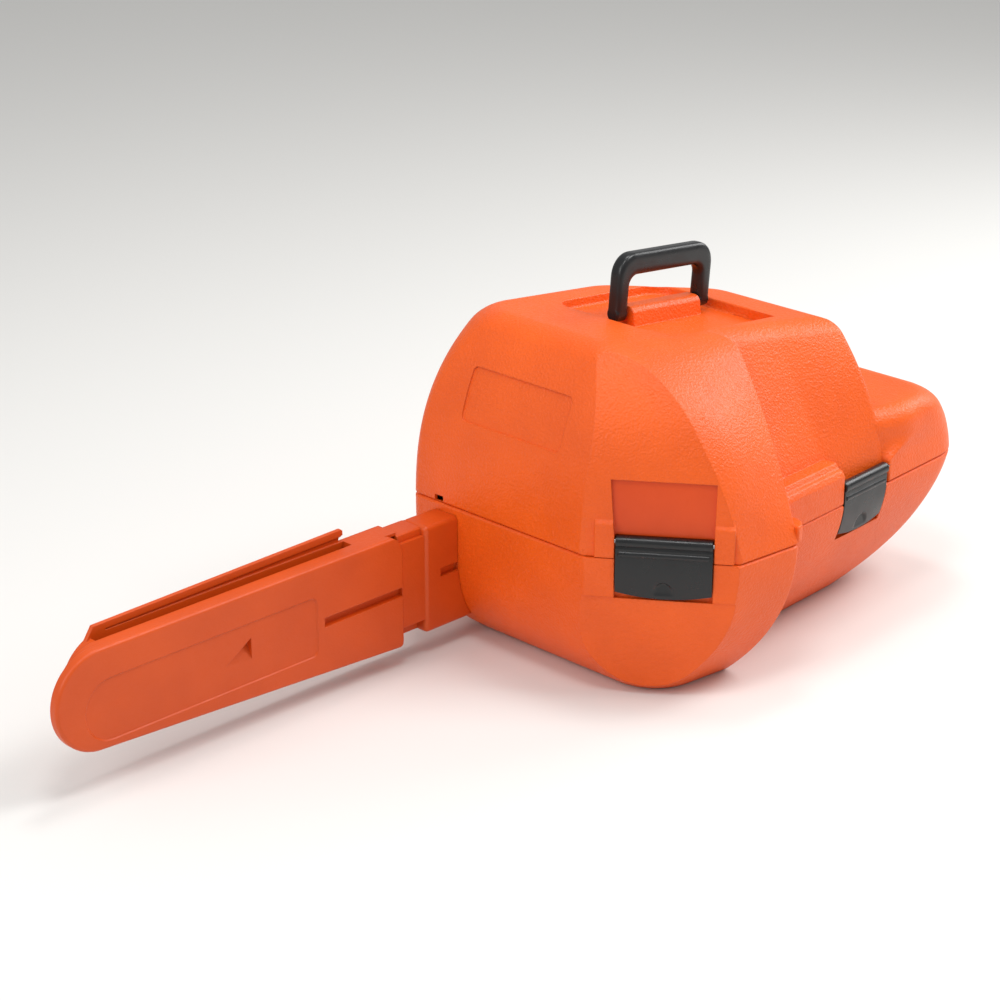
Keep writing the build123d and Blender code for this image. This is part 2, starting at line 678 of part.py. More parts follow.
def base_shell():
    hollow = base_body(wall) - base_flat(wall)
    outer = base_body() - base_flat() + knuckles(False)
    for pivot, width in ((front_pivot(), front_latch_w), (side_pivot(), side_latch_w)):
        outer = outer - latch_pocket(pivot, width)
        hollow = hollow - latch_pocket(pivot, width, wall)
    ribs = cradle(hollow)
    shell = outer - hollow
    for pivot, width in ((front_pivot(), front_latch_w), (side_pivot(), side_latch_w)):
        shell = shell + keeper(pivot, width)
    shell = shell + (socket() & base_body(wall - 1)) + ribs
    return shell - port() - pin_bores()


def lid_shell():
    outer = hump() + tail()
    outer = outer - lid_flat() + front_cheeks() + boss() + gusset()
    outer = outer - field() - recess() + ridge() + knuckles(True)
    window = block(Plane.XY, front_x - 20, front_x + 60, plate_y0, plate_y1, plate_z0, plate_z1)
    outer = outer - (window - hump_walls(plate_d))
    hollow = hump(wall) + tail(wall)
    hollow = hollow - lid_flat(wall) - field(wall) - recess(wall)
    hollow = hollow + boss(wall)
    hollow = hollow - block(side_frame(), side_latch_w / 2, side_latch_w / 2 + 14, 4, 30, -16, 4)
    shell = outer - hollow
    for pivot, width in ((front_pivot(), front_latch_w), (side_pivot(), side_latch_w)):
        shell = shell - rod_x(pivot, -width / 2 - side_gap, width / 2 + side_gap, 0, 0, barrel_r + 0.6)
        shell = shell - latch_bore(pivot, width)
    shell = shell - block(Plane.XY, front_x - 8, front_x + 12, vent_y - vent_w / 2, vent_y + vent_w / 2,
                          part_z + 1, part_z + 1 + vent_h)
    half = handle_len / 2
    shell = shell - rod_x(handle_pivot(), -half, half, 0, 0, handle_pin_r + 0.01)
    return shell - pin_bores()


os.makedirs("parts", exist_ok=True)
pieces = {
    "base_shell": base_shell,
    "lid_shell": lid_shell,
    "sheath": sheath,
    "handle": lambda: handle_pivot() * handle(),
    "handle_pins": lambda: handle_pivot() * handle_pins(),
    "front_latch": lambda: front_pivot() * latch(front_latch_w),
    "side_latch": lambda: side_pivot() * latch(side_latch_w),
    "front_latch_pin": lambda: latch_pin(front_pivot(), front_latch_w),
    "side_latch_pin": lambda: latch_pin(side_pivot(), side_latch_w),
    "hinge_pins": hinge_pins,
}
for name, build in pieces.items():
    shape = build()
    print(name, len(shape.solids()), round(shape.volume), shape.is_valid)
    export_step(shape, "parts/" + name + ".step")
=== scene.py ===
import math
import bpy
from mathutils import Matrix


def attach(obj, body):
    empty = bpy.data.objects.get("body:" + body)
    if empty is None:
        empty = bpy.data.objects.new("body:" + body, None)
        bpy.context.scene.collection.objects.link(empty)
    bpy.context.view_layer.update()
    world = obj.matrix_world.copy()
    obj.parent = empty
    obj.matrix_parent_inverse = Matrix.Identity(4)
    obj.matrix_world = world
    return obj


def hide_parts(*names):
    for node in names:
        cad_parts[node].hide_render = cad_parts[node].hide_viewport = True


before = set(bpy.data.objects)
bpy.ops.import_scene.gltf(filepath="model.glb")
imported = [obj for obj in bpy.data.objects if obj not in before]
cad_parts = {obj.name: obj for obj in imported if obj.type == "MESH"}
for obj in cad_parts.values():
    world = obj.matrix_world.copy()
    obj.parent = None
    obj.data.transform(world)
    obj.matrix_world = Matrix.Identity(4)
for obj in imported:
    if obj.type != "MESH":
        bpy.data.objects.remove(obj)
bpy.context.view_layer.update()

from types import SimpleNamespace

import bmesh
import bpy
from mathutils import Matrix, Vector

WORLD = Matrix.Identity(4)

bl_info = {
    "name": "Chainsaw Carrying Case",
    "version": (1, 0, 0),
    "blender": (4, 5, 0),
    "location": "3D View > Sidebar > Saw Case",
    "description": "Moulded carrying case with a domed lid, bail handle, two latches and a bar sheath",
    "category": "Object",
}

# ---- what no setting changes, in millimetres unless it says otherwise ----

ARCH_RUN = 56  # how far the lid's front arches back on its way to the top
BELLY_X = -135  # where the belly's near wall is measured
SCOOP = 18  # how far the hump's side starts in from the side wall
FOOT_FRONT, FOOT_BELLY, FOOT_SIDE, FOOT_TAIL, FOOT_FAR = 47, 63, 77, 81, 36  # how far the walls tuck in below
FLAT_DEGREES, FLAT_X, FLAT_Y, FLAT_ALONG = 54, -188.5, -131, 5  # direction and place of the corner flat
SIDE_LATCH_X = 67.0
PIVOT_OUT, PIVOT_UP, SIDE_LATCH_TIP = -3, 16, 8  # latch pivots at their walls, and the side latch's tip in degrees
RUN_GAP = 0.8  # room beside a latch
BORE_R, HANDLE_BORE_R = 2.06, 3.05
HANDLE_X, HANDLE_Y, HANDLE_UP = -19.5, 23, 1.5  # handle pivot on the top face
RECESS_END, RECESS_DEPTH = 8, 9.5  # room round the folded handle
HINGE_OUT, HINGE_X, HINGE_SPACING = 7, -140, 185
KNUCKLE, KNUCKLE_GAP, KNUCKLE_R = 22, 0.5, 5.5
RIB_XS, RIB_TOP, SADDLE_R, SADDLE_UP = (-130, 10, 110), 46, 160, 184  # cradle ribs on the floor
PLUG_Y, PLUG_Z, PLUG_MIDDLE, PLUG_GAP = 14, 42, 80, 0.5  # half sizes of the sheath's plug, and its room

# lamps: place in metres, watts, width in metres
LAMPS = {"key": ((0.85, -1.15, 2.1), 26, 0.9), "edge": ((1.7, -0.42, 1.15), 15, 0.9),
         "fill": ((-2.0, 0.1, 1.3), 15, 1.3), "top": ((0.2, 0.25, 2.3), 10, 0.5),
         "bars": ((-0.8, -0.5, 2.0), 8, 0.5)}
LAMPS_AIM = (-0.05, 0, 0.15)
CAMERA_PLACE, CAMERA_LENS, CAMERA_ROUND, CAMERA_DOWN = (-1.7740, -1.5049, 1.0411), 93.6, 44.7, 22


def length(name, text, value):
    return bpy.props.FloatProperty(name=name, description=text, default=value, unit="LENGTH", precision=4)


def colour(name, text, value):
    return bpy.props.FloatVectorProperty(name=name, description=text, default=value, size=3, min=0, max=1,
                                         subtype="COLOR")


def linear(code):
    """sRGB hex colour as linear red, green and blue."""
    parts = [int(code[i:i + 2], 16) / 255 for i in (1, 3, 5)]
    return tuple(c / 12.92 if c <= 0.04045 else ((c + 0.055) / 1.055) ** 2.4 for c in parts)


class ShellSizes(bpy.types.PropertyGroup):
    wall: length("Wall", "Moulded wall of both shells", 0.0036)
    part_z: length("Parting height", "Height of the parting plane above the floor", 0.137)
    front_x: length("Front", "Front wall at the parting plane", -0.227)
    tail_x: length("Tail end", "Tail end at the parting plane", 0.243)
    far_y: length("Far wall", "Far wall, the hinge side", 0.144)
    belly_y: length("Belly", "Near wall of the belly at the front corner", -0.190)
    belly_swell: length("Belly swell", "How much more the belly stands out at its step", 0.006)
    step_x: length("Step", "Where the belly steps back to the side wall", -0.071)
    side_y: length("Side wall", "Side wall behind the step", -0.172)
    tail_y: length("Tail side", "Side wall at the tail end", -0.152)
    tail_far_y: length("Tail far side", "Far wall at the tail end", 0.112)
    lid_top: length("Lid rise", "Rise of the top face above the parting plane at the front", 0.175)
    top_round: length("Top rounding", "Rounding of the lid's top edge", 0.015)
    hump_x: length("Hump rear", "Rear of the hump at its top", 0.101)
    tail_rise: length("Tail rise", "Tail height above the parting plane", 0.068)
    tail_round: length("Tail rounding", "Rounding of the tail's upper edge", 0.018)
    rim_bevel: length("Rim bevel", "Bevel along the parting line", 0.0018)
    rim_gap: length("Rim gap", "Half of the gap between the rims", 0.0003)
    top_tilt: bpy.props.FloatProperty(name="Top tilt", description="Fall of the top face towards the tail",
                                      default=math.radians(5.5), unit="ROTATION")


class LatchSizes(bpy.types.PropertyGroup):
    front_w: length("Front width", "Width of the front latch", 0.086)
    side_w: length("Side width", "Width of the side latch", 0.070)
    drop: length("Drop", "Pivot to the lower edge of the plate", 0.047)
    bow: length("Bow", "Extra drop in the middle of the lower edge", 0.005)
    plate: length("Plate", "Thickness of the plate", 0.0032)
    barrel: length("Barrel", "Radius of the barrel round the pin", 0.0055)


class HandleSizes(bpy.types.PropertyGroup):
    span: length("Length", "Outer length of the handle", 0.130)
    rise: length("Rise", "Top of the grip above the pivot", 0.057)
    leg: length("Leg", "Width of each leg", 0.0145)
    grip: length("Grip", "Height of the grip", 0.021)
    depth: length("Thickness", "Thickness of the handle", 0.0145)


class SheathSizes(bpy.types.PropertyGroup):
    middle_y: length("Middle", "Middle of the sheath's thickness", 0.097)
    width: length("Width", "Thickness of the sheath", 0.032)
    tip_x: length("Nose", "End of the rounded nose", -0.683)
    top_z: length("Top", "Height of the upper edge", 0.132)
    nose_r: length("Nose radius", "Radius of the rounded nose", 0.046)
    root_x: length("Root", "Where the neck begins", -0.297)
    bar_gap: length("Bar slot", "Width of the slot for the bar and chain", 0.0115)


class Finishes(bpy.types.PropertyGroup):
    orange: colour("Orange", "Colour of the moulded shells", linear("#EA5B0C"))
    sheath: colour("Sheath orange", "Colour of the sheath", linear("#D24E0C"))
    black: colour("Black", "Colour of the handle and latches", linear("#111214"))
    # painted shade: this orange is darker than the shells' own, standing in for the shade in the recessed field above
    # the front latch, the only faces that take it
    smooth: colour("Smooth orange", "Colour of the ungrained fields and ledges", linear("#D8480C"))
    steel: colour("Steel", "Colour of the plated pins", linear("#C9CACD"))
    floor: colour("Floor", "Colour of the floor", linear("#E4E3E0"))
    grain: length("Grain", "Size of one cell of the moulded grain", 0.0021)


GROUPS = {"case_shells": ShellSizes, "case_latches": LatchSizes, "case_handle": HandleSizes,
          "case_sheath": SheathSizes, "case_finishes": Finishes}


def sizes(name):
    """The lengths of one group in millimetres, and its angles in radians."""
    group = getattr(bpy.context.scene, name)
    out = {}
    for key in group.__annotations__:
        value = getattr(group, key)
        if isinstance(value, float):
            unit = group.bl_rna.properties[key].unit
            value = round(value * 1000, 4) if unit == "LENGTH" else value
        out[key] = value
    return SimpleNamespace(**out)


# ---- plan outlines of the shells: corners as (x, y, radius) in millimetres ----

def side_at(k, x):
    """Side wall at the parting plane, which runs in a little to the tail."""
    return k.side_y + (k.tail_y - k.side_y) * (x - k.step_x) / (k.tail_x - k.step_x)


def top_at(k, x):
    """Height of the top face above the parting plane."""
    return k.lid_top - math.tan(k.top_tilt) * (x - k.front_x - ARCH_RUN)


def hump_points(k, f):
    """Outline of the hump at the fraction f of the way up to the top face."""
    def at(x):
        return f * top_at(k, x) / k.lid_top
    t = at(k.front_x + ARCH_RUN)
    x0 = k.front_x + ARCH_RUN * t ** 2.4
    y_c = k.belly_y + 130 * (0.28 * t + 0.72 * t ** 4)
    ts = at(k.step_x + 25)
    xs = k.step_x + 40 * ts ** 1.6
    ys = k.belly_y - k.belly_swell + 124 * (0.55 * ts + 0.45 * ts ** 2)
    slope = (ys - y_c) / (xs - BELLY_X)
    yc = y_c + slope * (x0 - BELLY_X)
    rc = 90 - 62 * t ** 3.5
    y5 = ys + 27 + 18 * ts - 38 * ts ** 3
    tm = at(20)
    ym = k.side_y + SCOOP + 86 * tm ** 1.3
    tr = at(k.hump_x)
    x7 = k.hump_x + 10 * (1 - tr)
    y6 = k.side_y + SCOOP + 84 * tr ** 2.2
    ym = max(ym, y6 + 1)
    return [(x0, k.far_y - 5 * t - 8 * t ** 3, 12 + 36 * t ** 3), (x0, yc, rc), (xs, ys, 4), (xs + 1, y5, 4),
            (25, ym, 60), (x7, y6, 8), (x7, 80 - 30 * t, 35), (50 - 45 * t, k.far_y - 7 * t - 12 * t ** 3, 60)]


def tail_points(k, t):
    """Outline of the tail at the fraction t of its rise, with the latch pocket's end."""
    x1 = k.tail_x - 38 * t ** 2
    yn, yf = 3 * t, 8 * t
    xp = SIDE_LATCH_X + k.side_w / 2 + RUN_GAP
    ease = min(max((t - 0.30) / 0.30, 0), 1)
    ease = ease * ease * (3 - 2 * ease)
    return [(30, k.far_y - 1.5 - yf, 8), (30, k.side_y + 52, 4), (xp, k.side_y + 21 + yn, 2 + 6 * ease),
            (xp + 4 + 30 * ease, side_at(k, xp) + yn, 2 + 56 * ease), (x1, side_at(k, x1) + yn, 48),
            (x1, k.tail_far_y - yf, 50), (110, k.far_y - 1.5 - yf, 60)]


def base_points(k, t):
    """Outline of the base at the fraction t of the way down."""
    x0 = k.front_x + FOOT_FRONT * t ** 4.5
    nb, ns = FOOT_BELLY * t ** 2.4, FOOT_SIDE * t ** 1.7
    x1 = k.tail_x - FOOT_TAIL * (0.56 * t + 0.44 * t ** 6)
    xs = k.step_x - 19 * t ** 1.5
    yf = FOOT_FAR * t ** 6
    ys = k.belly_y - k.belly_swell + nb
    slope = -k.belly_swell / (k.step_x - BELLY_X)
    yc = k.belly_y + nb + slope * (x0 - BELLY_X)
    y5 = side_at(k, xs + 2) + ns
    return [(x0, k.far_y - yf, 12 + 20 * t ** 2), (x0, yc, 90 - 45 * t), (xs, ys, 5), (xs + 1, y5, 3),
            (x1, side_at(k, x1) + ns, 48), (x1, k.tail_far_y - yf, 50),
            (110 - 60 * t ** 4, k.far_y - yf, 80 - 20 * t)]


def inset(points, t):
    """The outline moved in by t, with its corner radii to suit."""
    n = len(points)
    lines = []
    for i in range(n):
        x0, y0, _ = points[i]
        x1, y1, _ = points[(i + 1) % n]
        run = math.hypot(x1 - x0, y1 - y0)
        dx, dy = (x1 - x0) / run, (y1 - y0) / run
        lines.append((x0 - dy * t, y0 + dx * t, dx, dy))
    out = []
    for i in range(n):
        ax, ay, adx, ady = lines[i - 1]
        bx, by, bdx, bdy = lines[i]
        det = adx * bdy - ady * bdx
        s = ((bx - ax) * bdy - (by - ay) * bdx) / det
        r = points[i][2]
        out.append((ax + adx * s, ay + ady * s, max(r - t, 1) if det > 0 else r + t))
    return out


def ring(points, height, per_arc=12, per_line=9):
    """Points round an outline with rounded corners, at the height given for each x."""
    arcs = []
    n = len(points)
    corners = [Vector(p[:2]) for p in points]
    runs = [(corners[(i + 1) % n] - corners[i]).length for i in range(n)]
    turns = [math.pi - abs((corners[i] - corners[i - 1]).angle_signed(corners[(i + 1) % n] - corners[i], 0))
             for i in range(n)]
    takes = [points[i][2] / math.tan(turns[i] / 2) for i in range(n)]
    for i in range(n):
        x, y, r = points[i]
        fit = min([1.0] + [0.98 * runs[j] / (takes[j] + takes[(j + 1) % n]) for j in (i - 1, i)])
        r *= fit
        a = (corners[i - 1] - corners[i]).normalized()
        b = (corners[(i + 1) % n] - corners[i]).normalized()
        ang = turns[i]
        mid = (a + b).normalized()
        centre = Vector((x, y)) + mid * (r / math.sin(ang / 2))
        u = Vector((x, y)) + a * (r / math.tan(ang / 2)) - centre
        v = Vector((x, y)) + b * (r / math.tan(ang / 2)) - centre
        sweep = math.pi - ang
        turn = 1 if u.x * v.y - u.y * v.x > 0 else -1
        arcs.append([centre + Matrix.Rotation(turn * sweep * j / per_arc, 2) @ u for j in range(per_arc + 1)])
    flat = []
    for i, arc in enumerate(arcs):
        flat += arc
        end, start = arc[-1], arcs[(i + 1) % n][0]
        flat += [end.lerp(start, j / per_line) for j in range(1, per_line)]
    return [(p.x, p.y, height(p.x)) for p in flat]


def level(z):
    """The same height for every x."""
    return lambda x: z


def closed(verts, faces):
    """Closed mesh with its faces turned outward."""
    me = bpy.data.meshes.new("solid")
    me.from_pydata(verts, [], faces)
    bm = bmesh.new()
    bm.from_mesh(me)
    bmesh.ops.remove_doubles(bm, verts=bm.verts, dist=1e-5)
    bmesh.ops.recalc_face_normals(bm, faces=bm.faces)
    bm.to_mesh(me)
    bm.free()
    return me


def loft(rings):
    """Closed skin through rings of equal count, capped at both ends."""
    n = len(rings[0])
    verts = [p for r in rings for p in r]
    faces = [tuple(range(n - 1, -1, -1)), tuple(range(len(verts) - n, len(verts)))]
    for i in range(len(rings) - 1):
        for j in range(n):
            a, b = i * n + j, i * n + (j + 1) % n
            faces.append((a, b, b + n, a + n))
    return closed(verts, faces)


def shaped(op, body, tools):
    """The body with each tool joined, cut away or kept, as one plain mesh."""
    host = bpy.data.objects.new("host", body)
    bpy.context.collection.objects.link(host)
    made = [host]
    for tool in tools:
        ob = bpy.data.objects.new("tool", tool)
        bpy.context.collection.objects.link(ob)
        mod = host.modifiers.new("cut", "BOOLEAN")
        mod.operation, mod.solver, mod.object = op, "MANIFOLD", ob
        made.append(ob)
    shell = host.evaluated_get(bpy.context.evaluated_depsgraph_get())
    out = bpy.data.meshes.new_from_object(shell)
    for ob in made:
        bpy.data.objects.remove(ob)
    if not out.polygons:
        raise RuntimeError("a cut left nothing of the solid")
    return out


def join(body, *tools):
    return shaped("UNION", body, tools)


def cut(body, *tools):
    return shaped("DIFFERENCE", body, tools)


def keep(body, *tools):
    return shaped("INTERSECT", body, tools)


# ---- frames and simple solids ----

def frame_of(origin, x, z):
    x, z = Vector(x), Vector(z)
    y = z.cross(x)
    m = Matrix((x, y, z)).transposed().to_4x4()
    m.translation = origin
    return m


def tipped(m, degrees):
    return m @ Matrix.Rotation(math.radians(degrees), 4, "X")


def prism(m, x0, x1, profile):
    """Prism along the frame's X through a profile of (out, up) points."""
    return loft([[m @ Vector((x, up, out)) for out, up in profile] for x in (x0, x1)])


def softened(me, width, segments=3, angle=30):
    """The mesh with its sharp edges rounded."""
    bm = bmesh.new()
    bm.from_mesh(me)
    bmesh.ops.remove_doubles(bm, verts=bm.verts, dist=1e-4)
    edges = [e for e in bm.edges if len(e.link_faces) == 2 and e.calc_face_angle(0) > math.radians(angle)]
    bmesh.ops.bevel(bm, geom=edges, offset=width, offset_type="OFFSET", segments=segments, profile=0.5,
                    affect="EDGES", clamp_overlap=True)
    bm.to_mesh(me)
    bm.free()
    return me


def block(m, x0, x1, y0, y1, z0, z1):
    return prism(m, x0, x1, [(z0, y0), (z0, y1), (z1, y1), (z1, y0)])


def rod(m, x0, x1, r, y=0, z=0, count=40, tip=0.0):
    """Rod along the frame's X; tip bevels its ends."""
    rings = []
    ends = [(x0, r - tip), (x0 + tip, r), (x1 - tip, r), (x1, r - tip)] if tip else [(x0, r), (x1, r)]
    for x, rr in ends:
        rings.append([m @ Vector((x, y + rr * math.cos(2 * math.pi * i / count),
                                  z + rr * math.sin(2 * math.pi * i / count))) for i in range(count)])
    return loft(rings)


def corner_frame(k, out=0.0, up=0.0):
    """Frame on the corner flat: X along it, Y up, Z outward, at the front latch."""
    a = math.radians(FLAT_DEGREES)
    n, d = (-math.sin(a), -math.cos(a), 0), (math.cos(a), -math.sin(a), 0)
    at = (FLAT_X + n[0] * out + d[0] * FLAT_ALONG, FLAT_Y + n[1] * out + d[1] * FLAT_ALONG, k.part_z + up)
    return frame_of(at, d, n)


def side_frame(k, out=0.0, up=0.0):
    """Frame on the side wall: X along it, Y up, Z outward, at the side latch."""
    a = math.atan2(k.tail_y - k.side_y, k.tail_x - k.step_x)
    n = (math.sin(a), -math.cos(a), 0)
    at = (SIDE_LATCH_X + n[0] * out, side_at(k, SIDE_LATCH_X) + n[1] * out, k.part_z + up)
    return frame_of(at, (math.cos(a), math.sin(a), 0), n)


def top_frame(k, x, y, out=0.0):
    """Frame on the top face: X down the slope, Y to the hinge side, Z outward."""
    a = k.top_tilt
    at = (x + math.sin(a) * out, y, k.part_z + top_at(k, x) + math.cos(a) * out)
    return frame_of(at, (math.cos(a), 0, -math.sin(a)), (math.sin(a), 0, math.cos(a)))


def front_pivot(k):
    return corner_frame(k, PIVOT_OUT, PIVOT_UP)


def side_pivot(k):
    return tipped(side_frame(k, PIVOT_OUT, PIVOT_UP), SIDE_LATCH_TIP)


def handle_pivot(k):
    return top_frame(k, HANDLE_X, HANDLE_Y, HANDLE_UP)


def shells():
    """Sizes of the shells and of what is set into them."""
    k = sizes("case_shells")
    lt, hd = sizes("case_latches"), sizes("case_handle")
    k.front_w, k.side_w, k.drop, k.bow, k.barrel = lt.front_w, lt.side_w, lt.drop, lt.bow, lt.barrel
    k.span, k.rise, k.leg = hd.span, hd.rise, hd.leg
    k.lid_z = k.part_z + k.rim_gap
    return k


# ---- the shells' walls ----

def domed(k, points_at, rise, height, radius, extra, grow, levels=26):
    """Skin up to a rounded upper edge; extra moves it in, grow is a bevel at the rim."""
    start = 1 - radius / rise
    steps = [(0, grow)] + ([(grow / rise, 0)] if grow else [])
    steps += [(start * i / levels, 0) for i in range(1, levels)]
    for i in range(10):
        a = math.radians(10 * i)
        steps.append((start + (1 - start) * math.sin(a), radius * (1 - math.cos(a))))
    rings = []
    for t, more in steps:
        rings.append(ring(inset(points_at(k, t), extra + more), height(t)))
    return loft(rings)


def hump(k, extra=0.0, grow=0.0, foot=None):
    foot = k.lid_z if foot is None else foot
    return domed(k, hump_points, k.lid_top,
                 lambda t: (lambda x: foot + t * (top_at(k, x) - extra + k.part_z - foot)),
                 k.top_round, extra, grow)


def tail(k, extra=0.0, grow=0.0, foot=None):
    foot = k.lid_z if foot is None else foot
    return domed(k, tail_points, k.tail_rise,
                 lambda t: (lambda x: foot + t * (k.tail_rise - extra + k.part_z - foot)),
                 k.tail_round, extra, grow)


def base_body(k, extra=0.0, grow=0.0, levels=30):
    """Base from its rim down, or its hollow when moved in; its lowest edge is rounded."""
    floor, top = max(extra, 0), k.part_z - (k.rim_gap if not extra else -1)
    steps = [(0.0, grow)] + ([(grow / k.part_z, 0.0)] if grow else [])
    steps += [(i / levels, 0.0) for i in range(1, levels)]
    edge = 3.0
    steps += [(1 - edge / k.part_z * (1 - math.sin(a)), edge * (1 - math.cos(a)))
              for a in (0, 0.3, 0.6, 0.9, 1.2, math.pi / 2)]
    return loft([ring(inset(base_points(k, t), extra + more), level(top - t * (top - floor))) for t, more in steps])


def flat_lean(t):
    """How far the lid's corner flat has curved in at the fraction t of the lid's rise."""
    return 67 * max(t, 0) ** 3.2


def lid_flat(k, extra=0.0):
    """Everything outside the lid's corner flat, which curves in towards the top."""
    up = [-0.02 + 1.1 * i / 30 for i in range(31)]
    profile = [(-extra - 3 - flat_lean(t), t * k.lid_top) for t in up]
    return prism(corner_frame(k), -220, 220, profile + [(200, up[-1] * k.lid_top), (200, up[0] * k.lid_top)])


def base_flat(k, extra=0.0):
    """Everything outside the base's flat, upright beside the latch and leaning in below it."""
    foot, back, degrees = -37, -1.5 - extra, 7
    lean = tipped(corner_frame(k, back, foot), degrees)
    low = corner_frame(k).inverted() @ (lean @ Vector((0, -130, 0)))
    return prism(corner_frame(k), -300, 300, [(-extra, 60), (-extra, foot), (back, foot), (low.z, low.y),
                                              (200, low.y), (200, 60)])


def cheek(k, side):
    """Bevelled cheek on the lid beside the front latch, with its small ledge."""
    half = k.front_w / 2 + RUN_GAP
    x0, x1 = sorted((side * half, side * (half + 18)))
    body = prism(corner_frame(k), x0, x1,
                 [(-26, 0.3), (0, 0.3), (0, 31), (-0.6, 33), (-6.5, 38.5), (-8, 39.5), (-26, 40)])
    return softened(body, 0.9, 2)


def field(k, extra=0.0):
    """Recessed field above the front latch, wider at the top."""
    low, wide = k.front_w / 2 + RUN_GAP + extra, k.front_w / 2 + 5.5 + extra
    m = corner_frame(k)
    plan = [(-low, -0.5), (low, -0.5), (low, 17), (wide - 4, 72 + extra), (-wide, 72 + extra), (-low, 17)]
    rings = [[m @ Vector((x, y, z)) for x, y in plan] for z in (-120, 60)]
    return keep(lid_flat(k, 3.0 + extra), loft(rings))


def boss(k, extra=0.0):
    """Stepped ledge between the belly step and the side latch, at the rim."""
    x1 = -k.side_w / 2 - RUN_GAP
    x0 = k.step_x - SIDE_LATCH_X + 2
    if extra:
        return prism(side_frame(k), x0 + extra, x1 - 12,
                     [(-30, -1), (-extra, -1), (-extra, 30), (-8, 32), (-12, 36), (-30, 36)])
    body = prism(side_frame(k), x0 - 4, x1,
                 [(-30, 0.3), (0, 0.3), (0, 28.5), (-3.2, 33.5), (-7.6, 34.6), (-10.6, 39.4), (-30, 39.4)])
    return softened(body, 1.2, 3)


def gusset(k):
    """Small rounded wedge in the corner behind the belly step."""
    x, y = k.step_x, k.belly_y - k.belly_swell
    plan = [(x - 2, y + 1), (x + 6, y + 3), (x + 13, y + 10), (x + 15, k.side_y - 3), (x + 15, k.side_y + 4),
            (x - 2, k.side_y + 4)]
    me = loft([[(px, py, z) for px, py in plan] for z in (k.part_z + 0.3, k.part_z + 17)])
    return softened(me, 2.4, 4, 20)


def ridge(k):
    """Ridge between the handle's legs, which holds its pins."""
    half = k.span / 2 - k.leg - 3
    low = -13.0
    body = prism(handle_pivot(k), -half, half,
                 [(low, -14), (2, -11), (5.5, -8), (6.5, -5), (6.5, 5), (5.5, 8), (2, 11), (low, 14)])
    return softened(body, 1.0, 2, 20)


def recess(k, extra=0.0):
    """Recess that the handle folds into, to either side."""
    m = top_frame(k, HANDLE_X, HANDLE_Y)
    w, l, r = 2 * (k.rise + RECESS_END) + 2 * extra, k.span + 2 * RECESS_END + 2 * extra, 20 + extra
    plan = [(-l / 2, -w / 2, r), (l / 2, -w / 2, r), (l / 2, w / 2, r), (-l / 2, w / 2, r)]
    steps = ((-RECESS_DEPTH - extra, 2.2), (-8.6 - extra, 0.7), (-7.4 - extra, 0.0), (-1.2, -1.0), (-0.4, -1.6),
             (0.0, -2.6), (30, -2.6))
    return loft([[m @ Vector((x, y, z)) for x, y, _ in ring(inset(plan, more), level(0.0))] for z, more in steps])


def ramp(k, extra=0.0):
    """Slope that leads out of the near side of the recess."""
    m = top_frame(k, HANDLE_X, HANDLE_Y)
    half, near = k.span / 2 + 7.4 + extra, -(k.rise + RECESS_END)
    rings = [[m @ Vector((x, y, z)) for y, z in ((near + 32, -9.4 - extra), (near + 4, -9.4 - extra),
                                                 (near - 16 - extra, -extra), (near - 16 - extra, 20),
                                                 (near + 32, 20))] for x in (-half, half)]
    return loft(rings)


def window(k):
    """Bare recess on the front face of the lid."""
    plan = [(-38, 221, 5), (85, 221, 5), (85, 269, 5), (-38, 269, 5)]
    rings = [[(k.front_x + x, a, b) for a, b, _ in ring(plan, level(0.0))] for x in (-20, 60)]
    return cut(loft(rings), hump(k, 1.2))


def latch_pocket(k, pivot, width, extra=0.0):
    """Pocket in the base behind a latch plate."""
    w = width / 2 + RUN_GAP + extra
    return block(pivot, -w, w, -k.drop - k.bow - 2 - extra, -13, -2.5 - extra, 60)


def latch_seats(k):
    return ((front_pivot(k), k.front_w), (side_pivot(k), k.side_w))


def knuckle(k, sign):
    """One hinge knuckle with the web that carries it, at the middle of its length."""
    x = (KNUCKLE - KNUCKLE_GAP) / 2
    barrel = rod(WORLD, -x, x, KNUCKLE_R, tip=0.6)
    web = prism(WORLD, -x + 0.6, x - 0.6,
                [(sign * 0.4, 0), (sign * 0.4, -10.5), (sign * 9, -10.5), (sign * 5.2, 1.5)])
    bore = rod(WORLD, -x - 1, x + 1, BORE_R)
    return cut(join(barrel, web), bore)


def socket_box(k, grow, x0, x1):
    """Room for the sheath's plug, or for what surrounds it when grown."""
    middle = sizes("case_sheath").middle_y
    y, z = PLUG_Y + PLUG_GAP + grow, PLUG_Z + PLUG_GAP + grow
    return block(WORLD, x0, x1, middle - y, middle + y, PLUG_MIDDLE - z, PLUG_MIDDLE + z)


def base_solid(k):
    hollow = cut(base_body(k, k.wall), base_flat(k, k.wall))
    outer = cut(base_body(k, 0.0, k.rim_bevel), base_flat(k))
    for pivot, width in latch_seats(k):
        outer = cut(outer, latch_pocket(k, pivot, width))
        hollow = cut(hollow, latch_pocket(k, pivot, width, k.wall))
    shell = cut(outer, hollow)
    for x in RIB_XS:
        rib = block(WORLD, x - 1.5, x + 1.5, -220, 220, 0, k.wall + RIB_TOP)
        rib = cut(rib, rod(WORLD, x - 3, x + 3, SADDLE_R, 0, k.wall + SADDLE_UP, 96))
        shell = join(shell, keep(rib, hollow))
    # the latch hooks catch on these
    for pivot, width in latch_seats(k):
        w = width / 2 - 10
        shell = join(shell, block(pivot, -w, w, -33.5, -30.5, -4.5, 0.4))
    sleeve = keep(socket_box(k, 2.5, k.front_x - 5, k.front_x + 30), base_body(k, k.wall - 1))
    return cut(join(shell, sleeve), socket_box(k, 0, k.front_x - 30, k.front_x + 50))


